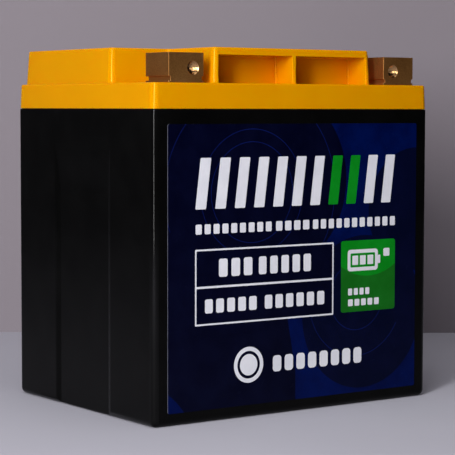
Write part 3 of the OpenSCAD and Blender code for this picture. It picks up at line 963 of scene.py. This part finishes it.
def cell_places():
    """(number, x, y, cap up) of each cell."""
    for n in range(COLUMNS * ROWS):
        column, row = divmod(n, ROWS)
        yield n + 1, (column - 1.5) * PITCH_X, (row - 1) * PITCH_Y, column % 2 == 1


def cells(metal):
    for number, x, y, cap_up in cell_places():
        low, high = node_box(f"cell_{number}")
        can_top = high.z - CAP_H
        profile = [(0, low.z), (9, low.z), (9.5, low.z + 0.25), (12, low.z + 0.25), (12.5, low.z)]
        profile += arc(CELL_R - 0.8, low.z + 0.8, 0.8, -90, 0)
        profile += arc(CELL_R, can_top - 6, 0.9, 270, 90, 8)
        profile += arc(CELL_R - 0.8, can_top - 0.8, 0.8, 0, 90)
        profile += [(CAP_R + 1.4, can_top), (CAP_R + 1, can_top - 0.4), (CAP_R, can_top - 0.4)]
        profile += arc(CAP_R - 0.5, high.z - 0.5, 0.5, 0, 90)
        profile += [(4, high.z), (3.6, high.z - 0.2), (3.2, high.z - 0.2), (2.8, high.z), (0, high.z)]
        flip = None if cap_up else low.z + high.z
        can = turned(profile, [(x, y)], 64, flip)
        make(f"cell_can_{number:02d}", can, [metal], "cell_can", f"cell_{number}")


def cell_wraps(film, fibre):
    """The shrink sleeves, drawn in at their ends and over the groove, and the rings round the caps."""
    low, high = node_box("cell_1")
    can_top = high.z - CAP_H
    inner_r, outer_r = CELL_R + 0.05, CELL_R + 0.05 + SLEEVE_T
    foot, top, groove = low.z + 0.3, can_top - 0.3, can_top - 6
    inner = [(inner_r - 0.12, foot), (inner_r, foot + 0.5), (inner_r, groove - 1.2), (inner_r - 0.3, groove),
             (inner_r, groove + 1.2), (inner_r, top - 0.5), (inner_r - 0.12, top)]
    outer = [(outer_r - 0.2, top), (outer_r, top - 0.6), (outer_r, groove + 1.4), (outer_r - 0.3, groove),
             (outer_r, groove - 1.4), (outer_r, foot + 0.6), (outer_r - 0.2, foot)]
    ring = [(CAP_R + 0.3, can_top), (CELL_R - 0.8, can_top), (CELL_R - 0.8, can_top + 0.3),
            (CELL_R - 0.9, can_top + 0.4), (CAP_R + 0.4, can_top + 0.4), (CAP_R + 0.3, can_top + 0.3)]

    def on_cells(profile):
        def draw(bm):
            for _, x, y, cap_up in cell_places():
                lathe(bm, profile, x, y, 64, None if cap_up else low.z + high.z)
        return draw

    make("cell_shrink_sleeves", on_cells(inner + outer), [film], "cell_sleeve", "cell_sleeves")
    make("cap_fibre_rings", on_cells(ring), [fibre], "fibre_paper", "cell_cap_rings")


def cell_holder(name, node, plastic, upside_down):
    low, high = node_box(node)
    flip = low.z + high.z if upside_down else None
    floor = low.z + PLATE_T
    profile = solid(
        (WINDOW_R + 0.4, low.z - 1), (WINDOW_R + 0.4, low.z), (WINDOW_R, low.z + 0.4), (WINDOW_R, floor),
        (SOCKET_R, floor), (SOCKET_R, high.z - 0.8), (SOCKET_R + 0.6, high.z), (SOCKET_R + 0.6, high.z + 1))
    holes = [turned(profile, [(x, y) for _, x, y, _ in cell_places()], 64, flip)]
    if upside_down:
        holes.append(turned(rod(STUD_R, high.z - 4, high.z + 1), POSTS, 24))
    make(name, blocks([(low, high)], 6, 0.5, 8), [plastic], "holder_plastic", node, cut=holes)


# ---------- conductors ----------

def busbar(name, node, columns, metal, below):
    """Stamped copper with a raised pad, a slot and four weld dents at each cell."""
    low, high = node_box(node)
    flip = None if below else low.z + high.z
    first, last = ((column - 1.5) * PITCH_X for column in (columns[0], columns[-1]))
    ends_y = PITCH_Y + BAR_HALF_W
    face = low.z + BAR_T
    pads = [((column - 1.5) * PITCH_X, (row - 1) * PITCH_Y) for column in columns for row in range(ROWS)]

    outline = rectangle(first - BAR_HALF_W, last + BAR_HALF_W, -ends_y, ends_y, BAR_HALF_W - 0.1, 12)
    levels = [(low.z, 0.1), (low.z + 0.1, 0), (face - 0.1, 0), (face, 0.1)]
    bar = drawing(loft, outline, [(z if flip is None else flip - z, inset) for z, inset in levels])
    middle = (first + last) / 2
    tab = blocks([((middle - 3, ends_y - 2, low.z), (middle + 3, high.y, face))], 1, 0.1)
    slots = blocks([((x - 0.5, y - 4.5, low.z - 1), (x + 0.5, y + 4.5, high.z + 1))
                    for x, y in pads], 0.45, 0.2)
    raised = solid((WELD_R, face - 0.3), (WELD_R, face + 0.2),
                   (WELD_R - 0.5, high.z - 0.5), (WELD_R - 0.9, high.z))
    dent = solid((1.1, low.z - 0.5), (1.1, low.z), (0.7, low.z + 0.15))
    welds = [(x + across, y + along) for x, y in pads for across in (-3.4, 3.4) for along in (-2.6, 2.6)]
    extras = [turned(raised, pads, 48, flip)] + ([tab] if below else [])
    holes = [slots, turned(dent, welds, 16, flip)]
    make(name, bar, [metal], "plated_copper", node, extras, holes)


def strap(name, node, side, metal):
    """Copper bent up from the busbar and along under its terminal."""
    low, high = node_box(node)
    terminal_x, terminal_y = terminal_spot(1)
    start = 1.5 * PITCH_X - STRAP_W / 2
    bend_out, bend_in, tip = 1.5, 0.4, 0.2

    corners = [
        (FOOT_FRONT - STRAP_T, low.z, bend_out), (FOOT_BACK, low.z, tip),
        (FOOT_BACK, low.z + STRAP_T, tip), (FOOT_FRONT, low.z + STRAP_T, bend_in),
        (FOOT_FRONT, high.z, bend_out), (low.y, high.z, tip),
        (low.y, high.z - STRAP_T, tip), (FOOT_FRONT - STRAP_T, high.z - STRAP_T, bend_in),
    ]
    levels = [(start, 0.15), (start + 0.15, 0), (start + STRAP_W - 0.15, 0), (start + STRAP_W, 0.15)]
    outline = rounded_outline(corners, 5)
    bent = drawing(loft, outline, levels, lambda point, x: (side * x, point.x, point.y))
    ends = sorted((side * (start + 3), side * (terminal_x + STRAP_W / 2)))
    arm = blocks([((ends[0], low.y, high.z - STRAP_T), (ends[1], FOOT_FRONT - STRAP_T, high.z))], 2, 0.1)
    hole = turned(rod(2.2, high.z - 2, high.z + 1), [(side * terminal_x, terminal_y)], 32)
    make(name, bent, [metal], "copper", node, [arm], [hole])


def terminal_fasteners(metal, rubber):
    low, high = node_box("terminal_screws")
    washer_low, washer_high = node_box("terminal_washers")
    seal_low, seal_high = node_box("terminal_seals")
    places = [terminal_spot(-1), terminal_spot(1)]
    head_top = washer_low.z

    head = solid(*arc(3.75, low.z + 0.5, 0.5, -90, 0), (4.25, head_top - 0.1), (4.15, head_top))
    socket = [(0, low.z - 1), (1.8, low.z - 1), (1.8, low.z + 1.2), (0, low.z + 1.4)]
    screws = piece_from("terminal_socket_screws", turned(head, places))
    combine(screws, "DIFFERENCE", turned(socket, places, 6))
    combine(screws, "UNION", threads(places, head_top - 0.4, high.z, SCREW_R))
    finish_piece(screws, [metal], "steel", "terminal_screws")

    ring = [(2.2, washer_low.z), (4.9, washer_low.z), (5, washer_low.z + 0.1), (5, washer_high.z - 0.1),
            (4.9, washer_high.z), (2.2, washer_high.z)]
    make("terminal_flat_washers", turned(ring, places), [metal], "steel", "terminal_washers")

    size = (seal_high.z - seal_low.z) / 2
    circle = arc(BOSS_R + 0.15 + size, seal_low.z + size, size, 0, 337.5, 15)
    make("terminal_o_rings", turned(circle, places, 64), [rubber], "seal_rubber", "terminal_seals")


# ---------- foam pads ----------

def dense(outline, spacing):
    """The same outline with more points along its straight sides."""
    points = []
    for (here, normal), (after, _) in zip(outline, outline[1:] + outline[:1]):
        count = max(1, int((after - here).length / spacing))
        points += [(here.lerp(after, k / count), normal) for k in range(count)]
    return points


def foam_pad(name, node, low, high, foam):
    """A die-cut pad, pressed flat on its broad faces, with bulging and slightly wavy edges."""
    thin = min(range(3), key=lambda axis: high[axis] - low[axis])
    first, second = [axis for axis in range(3) if axis != thin]
    depth = high[thin] - low[thin]
    bulge = 0.45 * depth

    def place(point, height):
        spot = Vector((0, 0, 0))
        spot[first], spot[second], spot[thin] = point.x, point.y, height
        return spot

    def draw(bm):
        corner = min(3.0, 0.4 * min(high[first] - low[first], high[second] - low[second]))
        outline = dense(rectangle(low[first], high[first], low[second], high[second], corner, 6), 3)
        wavy = []
        for point, normal in outline:
            wave = math.sin(0.31 * point.x + 0.7 * depth) + math.sin(0.23 * point.y + 2.1)
            wavy.append((point - normal * 0.07 * (2 + wave), normal))
        levels = []
        for k in range(13):
            share = k / 12
            inset = bulge * (1 - math.sqrt(max(0, 1 - (2 * share - 1) ** 2)))
            levels.append((low[thin] + depth * share, inset))
        loft(bm, wavy, levels, place)

    make(name, draw, [foam], "foam", node)


def foam_pads(foam):
    for name, node in (("floor_foam", "base_pad"), ("front_foam", "front_pad"), ("rear_foam", "rear_pad"),
                       ("top_front_foam", "top_front_pad")):
        foam_pad(name, node, *node_box(node), foam)
    for node, inner_x in (("side_pads", SIDE_PAD_INNER_X), ("top_rear_pads", TOP_PAD_INNER_X)):
        low, high = node_box(node)
        stem = node.replace("_pads", "_foam")
        foam_pad(f"{stem}_right", node, Vector((inner_x, low.y, low.z)), high, foam)
        foam_pad(f"{stem}_left", node, low, Vector((-inner_x, high.y, high.z)), foam)


# ---------- balance board and harness ----------

def board_artwork(width, height):
    """Solder mask with traces, pads and component outlines; nothing on it is lettering."""
    art = Artwork()
    art.box("mask", 0, width, 0, height, 2, 6)
    middle = width / 2

    def bar(ink, u, half_w, v0, v1, radius=0.1):
        art.box(ink, u - half_w, u + half_w, v0, v1, radius)

    for k in range(5):
        u = middle + (k - 2) * WIRE_PITCH
        bar("trace", u, 0.25, 28, 42)
        art.disc("tin", u, 41.2, 0.7, steps=20)
    for n in range(COLUMNS):
        u = middle + (n - 1.5) * CHIP_PITCH
        bar("trace", u, 0.4, 14, 16.5)
        art.box("trace", min(u, middle) - 0.4, max(u, middle) + 0.4, 16, 16.8, 0.1)
        bar("silk", u, 3.9, 4.1, 4.4)
        bar("trace", u, 6, 2.2, 3.0, 0.2)
        for k in (-1, 0, 1):
            bar("tin", u + k * RESISTOR_PITCH, 1.8, 10.9, 12.4, 0.2)
            bar("tin", u + k * RESISTOR_PITCH, 1.8, 13.6, 15.0, 0.2)
    for side in (-1, 1):
        for k in range(6):
            v, via = 19.2 + k * 1.5, middle + side * (12 + 3 * k)
            bar("tin", middle + side * 5.9, 0.7, v - 0.3, v + 0.3)
            art.box("trace", *sorted((middle + side * 6.6, via)), v - 0.2, v + 0.2, 0.1)
            art.disc("tin", via, v, 0.55, steps=16)
        for v in (35.0, 29.0):
            bar("silk", middle + side * 27, 5, v, v + 0.3)
    for x, y in POSTS:
        art.disc("gold", middle + x, height / 2 + y, 3.4, steps=40)
    return art.shapes


def balance_board(tin):
    low, high = node_box("balance_board")
    mask, trace, fibre = (0.22, 0.32), (0.2, 0.3), (0.6, 0.75)
    inks = {
        "mask": plain("solder_mask", (14, 84, 44), (18, 96, 50), 130, mask, 1800, 0.006),
        "trace": plain("masked_trace", (34, 122, 62), (40, 132, 68), 130, trace, 1800, 0.006),
        "tin": tin,
        "gold": plain_metal("gilt_ring", (222, 178, 92), (236, 198, 118)),
        "silk": print_ink("silkscreen", (222, 222, 216), (232, 232, 226)),
        "edge": plain("glass_fibre_edge", (132, 128, 78), (158, 152, 96), 900, fibre, 2400, 0.03),
    }
    shapes = board_artwork(high.x - low.x, high.y - low.y)
    corner, thickness = Vector((low.x, low.y, high.z)), Vector((0, 0, low.z - high.z))
    piece = printed_sheet("balance_circuit_board", shapes, inks, "edge", corner, Vector((0, 1, 0)), thickness)
    coat(piece, inks.values())
    combine(piece, "DIFFERENCE", turned(rod(1.6, low.z - 1, high.z + 1), POSTS, 32))
    finish_piece(piece, [], "circuit_board", "balance_board")


def gull_lead(bm, x, y, foot, direction, along):
    """One bent lead of a chip, from its side down to the board; direction is where it points."""
    corners = [(0, 0.75, 0.05), (0.4, 0.75, 0.15), (0.4, 0.15, 0.1), (0.9, 0.15, 0.05),
               (0.9, 0, 0.05), (0.25, 0, 0.15), (0.25, 0.6, 0.1), (0, 0.6, 0.05)]
    outline = rounded_outline(list(reversed(corners)), 2)
    sideways = Vector((-direction.y, direction.x, 0))

    def place(point, across):
        return Vector((x, y, foot + point.y)) + direction * point.x + sideways * (along + across)

    loft(bm, outline, [(-0.2, 0), (0.2, 0)], place)


def board_components(epoxy, tin, nylon):
    low, high = node_box("board_chips")
    board_top = low.z
    underside = board_top + 0.15

    def chips(bm):
        painted(bm, 0, rounded_block, (-5, -6, underside), (5, 4, high.z), 0.4, 0.2)
        for side in (-1, 1):
            for k in range(6):
                along = side * (k - 2.5) * 1.5
                painted(bm, 1, gull_lead, side * 5, -1, board_top, Vector((side, 0, 0)), along)
        for n in range(COLUMNS):
            x = (n - 1.5) * CHIP_PITCH
            ends = (x - 3.2, -18.4, underside), (x + 3.2, -13.6, board_top + 1.5)
            painted(bm, 0, rounded_block, *ends, 0.3, 0.2)
            for side in (-1, 1):
                for k in range(4):
                    along = (k - 1.5) * 1.27
                    painted(bm, 1, gull_lead, x, -16 + side * 2.4, board_top, Vector((0, side, 0)), along)

    def resistors(bm):
        front, rear, cap = -12.1, -10.0, 0.5
        parts = ((0, 1.5, front, rear, 0.65, 0.05), (1, 1.6, front - cap, front, 0.7, 0.08),
                 (1, 1.6, rear, rear + cap, 0.7, 0.08))
        for n in range(COLUMNS):
            for k in (-1, 0, 1):
                x = (n - 1.5) * CHIP_PITCH + k * RESISTOR_PITCH
                for index, half_w, start, stop, tall, edge in parts:
                    corners = (x - half_w, start, board_top), (x + half_w, stop, board_top + tall)
                    painted(bm, index, rounded_block, *corners, 0.1, edge)

    make("board_chip_set", chips, [epoxy, tin], "chip_plastic", "board_chips")
    make("bleed_resistor_set", resistors, [epoxy, tin], "chip_plastic", "bleed_resistors")

    header_low, header_high = node_box("board_header")
    plug_low, plug_high = node_box("harness_plug")
    middle_y = (plug_low.y + plug_high.y) / 2

    slots = []
    for k in range(4):
        x = (k - 1.5) * WIRE_PITCH
        corner = (x + 0.6, header_low.y + 0.8, header_high.z + 1)
        slots.append(((x - 0.6, header_low.y - 1, header_low.z + 1), corner))
    top = plug_high.z
    entry = solid((0.85, top - 1), (0.85, top - 0.2), (1.05, top), (1.05, top + 1))
    entries = turned(entry, [((k - 2) * WIRE_PITCH, middle_y) for k in range(5)], 20)
    header = blocks([(header_low, header_high)], 0.3, 0.2)
    plug = blocks([(plug_low, plug_high)], 0.4, 0.25)
    for name, node, draw, hole in (
        ("board_pin_header", "board_header", header, blocks(slots, 0.2, 0.1)),
        ("harness_crimp_plug", "harness_plug", plug, entries),
    ):
        make(name, draw, [nylon], "connector_plastic", node, cut=[hole])


def balance_leads(tin):
    """Five leads from the plug over the board and down to their busbars, soldered there."""
    low, high = node_box("balance_harness")
    plug_low, plug_high = node_box("harness_plug")
    start_y = (plug_low.y + plug_high.y) / 2
    run_z = high.z - WIRE_R
    outer_x = 1.5 * PITCH_X
    bar_top = node_box("center_busbar")[1].z
    tap_y, riser_y = 42.0, high.y - WIRE_R
    taps = [(-outer_x, tap_y, bar_top), (-PITCH_X, riser_y, low.z), (0, tap_y, bar_top),
            (PITCH_X, riser_y, low.z), (outer_x, tap_y, bar_top)]
    colours = {"black": (24, 24, 26), "white": (206, 204, 198), "yellow": (206, 160, 26),
               "blue": (34, 72, 158), "red": (168, 24, 20)}
    for k, ((colour, shade), (x, y, z)) in enumerate(zip(colours.items(), taps)):
        from_x = (k - 2) * WIRE_PITCH
        points = [(from_x, start_y, plug_high.z - 0.9), (from_x, start_y, run_z), (from_x, y, run_z)]
        if x != from_x:
            points.append((x, y, run_z))
        path = rounded_path(points + [(x, y, z + 1.9)], WIRE_BEND)
        radii = [WIRE_R] * len(path)
        for height, radius in ((1.85, 0.62), (1.8, 0.42), (0.9, 0.45), (0.4, 0.7), (0.1, 0.95), (0, 1.0)):
            path.append(Vector((x, y, z + height)))
            radii.append(radius)

        def draw(bm):
            tube(bm, path, radii)
            for face in bm.faces:
                centre = face.calc_center_median()
                if centre.z < z + 1.82 and (centre.xy - Vector((x, y))).length < 1.5:
                    face.material_index = 1

        light = [min(255, value + 10) for value in shade]
        film = plain(f"insulation_{colour}", shade, light, 200, (0.3, 0.42), 1500, 0.01)
        make(f"balance_lead_{colour}", draw, [film, tin], "wire_insulation", "balance_harness")


def board_mounts(nylon, metal):
    low, high = node_box("board_standoffs")
    sheet_top = node_box("upper_insulator")[1].z
    screw_low, screw_high = node_box("board_screws")
    head = node_box("balance_board")[1].z

    foot, top = screw_high.z - 0.8, screw_high.z + 1
    cross = blocks([((x - wide, y - deep, foot), (x + wide, y + deep, top))
                    for x, y in POSTS for wide, deep in ((1.5, 0.28), (0.28, 1.5))], 0.15, 0.1)
    hexagon = solid((2.6, sheet_top), (2.8, sheet_top + 0.2), (2.8, high.z - 0.2), (2.6, high.z))
    stud = solid((1.1, low.z), (1.4, low.z + 0.4), (1.4, sheet_top + 0.4))
    studs, bores = turned(stud, POSTS, 32), turned(rod(1.25, screw_low.z - 0.5, high.z + 1), POSTS, 24)
    posts = turned(hexagon, POSTS, 6)
    make("board_hex_standoffs", posts, [nylon], "standoff_nylon", "board_standoffs", [studs], [bores])

    pan = [(0, head), (2.6, head), (2.7, head + 0.1), (2.7, head + 0.5)] + arc(1.6, head + 0.5, 1.1, 0, 90, 6)
    screws = piece_from("board_pan_screws", turned(pan + [(0, screw_high.z)], POSTS, 40))
    combine(screws, "DIFFERENCE", cross)
    combine(screws, "UNION", threads(POSTS, screw_low.z, head + 0.3, 1.2, 0.5, 20))
    finish_piece(screws, [metal], "steel", "board_screws")


def inside():
    """Everything under the lid, none of which shows in the photo."""
    zinc = plain_metal("zinc_plate", (178, 180, 184), (206, 208, 212), (0.22, 0.36))
    nickel = plain_metal("nickelled_can", (176, 176, 178), (206, 206, 206), (0.16, 0.3), (1, 1, 0.05))
    plated = plain_metal("nickelled_copper", (184, 178, 164), (212, 206, 192), (0.24, 0.38), (1, 0.1, 1))
    copper = plain_metal("bare_copper", (186, 104, 70), (214, 132, 94), (0.26, 0.4), (0.2, 1, 1))
    tin = plain_metal("solder_tin", (188, 190, 194), (216, 218, 220), (0.18, 0.32))
    rubber = plain("black_rubber", (18, 18, 18), (28, 28, 28), 120, (0.5, 0.65), 1600, 0.02)
    foam = foam_material()
    fibre = mottled("fibre_paper", (214, 206, 176), (228, 222, 196), 260, (0.7, 0.85), 1200, 0.04)
    fibre = fibre.relief(fibre.noise(600, 5, 0.7, fibre.stretched(1, 5, 1)), 0.03, 0.6).material
    holder = plain("holder_grey", (44, 44, 47), (54, 54, 57), 90, (0.5, 0.62), 1300, 0.03)
    sleeve = plain("shrink_film", (24, 88, 158), (32, 100, 172), 50, (0.16, 0.26), 500, 0.02)
    nylon = plain("ivory_nylon", (214, 208, 190), (226, 220, 204), 140, (0.42, 0.55), 1500, 0.02)
    epoxy = plain("chip_epoxy", (22, 22, 24), (32, 32, 34), 300, (0.5, 0.62), 3200, 0.02)

    cells(nickel)
    cell_wraps(sleeve, fibre)
    cell_holder("lower_holder", "lower_cell_holder", holder, False)
    cell_holder("upper_holder", "upper_cell_holder", holder, True)
    for name, node, columns, below in (
        ("negative_bar", "negative_busbar", [0], False), ("center_bar", "center_busbar", [1, 2], False),
        ("positive_bar", "positive_busbar", [3], False), ("left_link_bar", "left_link_busbar", [0, 1], True),
        ("right_link_bar", "right_link_busbar", [2, 3], True),
    ):
        busbar(name, node, columns, plated, below)
    strap("left_strap", "negative_strap", -1, copper)
    strap("right_strap", "positive_strap", 1, copper)
    terminal_fasteners(zinc, rubber)
    foam_pads(foam)
    balance_board(tin)
    board_components(epoxy, tin, nylon)
    balance_leads(tin)
    board_mounts(nylon, zinc)
    dress("lower_insulator", fibre)
    dress("upper_insulator", fibre)
    dress("lid_adhesive_bead", rubber)


# ---------- stage, light and camera ----------

def plane(name, corners, material):
    mesh = bpy.data.meshes.new(name)
    mesh.from_pydata(corners, [], [(0, 1, 2, 3)])
    mesh.materials.append(material)
    new_object(name, mesh)


def toward(azimuth, elevation):
    """Unit vector away from the object; azimuth 0 is straight in front and 90 on the object's left."""
    a, e = math.radians(azimuth), math.radians(elevation)
    return Vector((-math.sin(a) * math.cos(e), -math.cos(a) * math.cos(e), math.sin(e)))


def photo_axes():
    """Unit vectors from the object to the camera, and to the camera's right, for the photo's view."""
    back = toward(PHOTO_AZIMUTH, PHOTO_ELEVATION)
    return back, UP.cross(back).normalized()


def backdrop_paper():
    """Grey-mauve paper that is seen from its front only."""
    recipe = Recipe("backdrop_paper", Roughness=0.9, Specular_IOR_Level=0.1)
    recipe.colour(recipe.noise(3), (0.4, rgb(143, 135, 142)), (0.6, rgb(146, 138, 145)))
    behind = recipe.node("ShaderNodeNewGeometry").outputs["Backfacing"]
    clear = recipe.node("ShaderNodeBsdfTransparent").outputs["BSDF"]
    mix_shaders(recipe.tree, behind, recipe.shader.outputs["BSDF"], clear, "Material Output")
    return recipe.material


def floor_paper():
    """Pale paper whose far end glows in the background's colour for the camera only, painted light so that no
    horizon shows.
    """
    low, high = (186, 184, 196), (189, 187, 199)
    recipe = mottled("floor_paper", low, high, 4, (0.75, 0.85), 300, 0.02, specular=0.3)
    away = recipe.compute("LENGTH", recipe.place, kind="ShaderNodeVectorMath")
    seen = recipe.node("ShaderNodeLightPath").outputs["Is Camera Ray"]
    # Painted light: emission seen by the camera only, growing with distance from the middle.
    painted_far_glow = recipe.compute("MULTIPLY", recipe.spread(away, 0.0, 0.8, 0.4, 1.3), seen)
    return recipe.set(Emission_Color=BACKGROUND, Emission_Strength=painted_far_glow).material


def stage():
    reach, drop = 1.6, -0.00005
    corners = [(-reach, -reach, drop), (reach, -reach, drop), (reach, reach, drop), (-reach, reach, drop)]
    plane("floor", corners, floor_paper())
    back, sideways = photo_axes()
    foot = Vector((back.x, back.y, 0)).normalized() * -0.247
    across, tall = sideways * 0.22, UP * 0.5
    left, right = foot - across, foot + across
    plane("backdrop", [left, right, right + tall, left + tall], backdrop_paper())


def softbox(name, azimuth, elevation, distance, width, height, power):
    """A rectangular light that faces the middle of the battery; its power is in watts."""
    direction = toward(azimuth, elevation)
    data = bpy.data.lights.new(name, "AREA")
    data.shape = "RECTANGLE"
    data.size, data.size_y = width, height
    data.energy = power
    lamp = new_object(name, data)
    lamp.location = UP * 0.1 + direction * distance
    lamp.rotation_euler = direction.to_track_quat("Z", "Y").to_euler()
    return lamp


def studio_world():
    """Dim in front, a little lighter behind, and pale where the camera looks straight at it."""
    world = bpy.data.worlds.new("studio")
    world.use_nodes = True
    tree = world.node_tree
    room = tree.nodes["Background"]
    around = add_node(tree, "ShaderNodeTexCoord").outputs["Generated"]
    rearward = add_node(tree, "ShaderNodeSeparateXYZ", Vector=around).outputs["Y"]
    feed(tree, room.inputs["Color"], rgb(178, 174, 186))
    feed(tree, room.inputs["Strength"], map_range(tree, rearward, 0.012, 0.16, -0.3, 0.9))
    seen = add_node(tree, "ShaderNodeLightPath").outputs["Is Camera Ray"]
    pale = add_node(tree, "ShaderNodeBackground", Color=BACKGROUND).outputs["Background"]
    mix_shaders(tree, seen, room.outputs["Background"], pale, "World Output")
    bpy.context.scene.world = world


def lights():
    """The long strip lights the case only, for the bright line on its near corner."""
    studio_world()
    bpy.context.scene.view_settings.view_transform = "Standard"
    softbox("key", 55, 17, 0.9, 0.13, 0.45, 5.8)
    edge_strip = softbox("edge_strip", 55, 10.5, 0.9, 0.045, 0.5, 3.2)
    edge_strip.light_linking.receiver_collection = bpy.data.collections.new("lit_by_edge_strip")
    edge_strip.light_linking.receiver_collection.objects.link(bpy.data.objects["case_shell"])
    softbox("wide", 49, 24, 1.1, 0.5, 0.7, 5.2)
    softbox("top", 30, 74, 1.2, 0.8, 0.8, 3.9)
    softbox("fill", 210, 38, 1.6, 1.2, 1.2, 1.4)


def camera():
    back, right = photo_axes()
    up = back.cross(right)
    data = bpy.data.cameras.new("camera")
    data.sensor_width, data.lens = 36, 138.42
    data.clip_start, data.clip_end = 0.05, 20
    made = new_object("camera", data)
    roll = math.radians(PHOTO_ROLL)
    across = right * math.cos(roll) + up * math.sin(roll)
    above = up * math.cos(roll) - right * math.sin(roll)
    made.matrix_world = Matrix((across, above, back)).transposed().to_4x4()
    made.location = back * 0.8993 + right * 0.00278 + up * 0.08551
    bpy.context.scene.camera = made


camera()
stage()
case_shell()
lid_shell()
brass = [terminal_brass(), cut_brass()]
terminal_block("left_terminal_block", "terminal_negative", -1, brass)
terminal_block("right_terminal_block", "terminal_positive", 1, brass)
front_label()
inside()
lights()
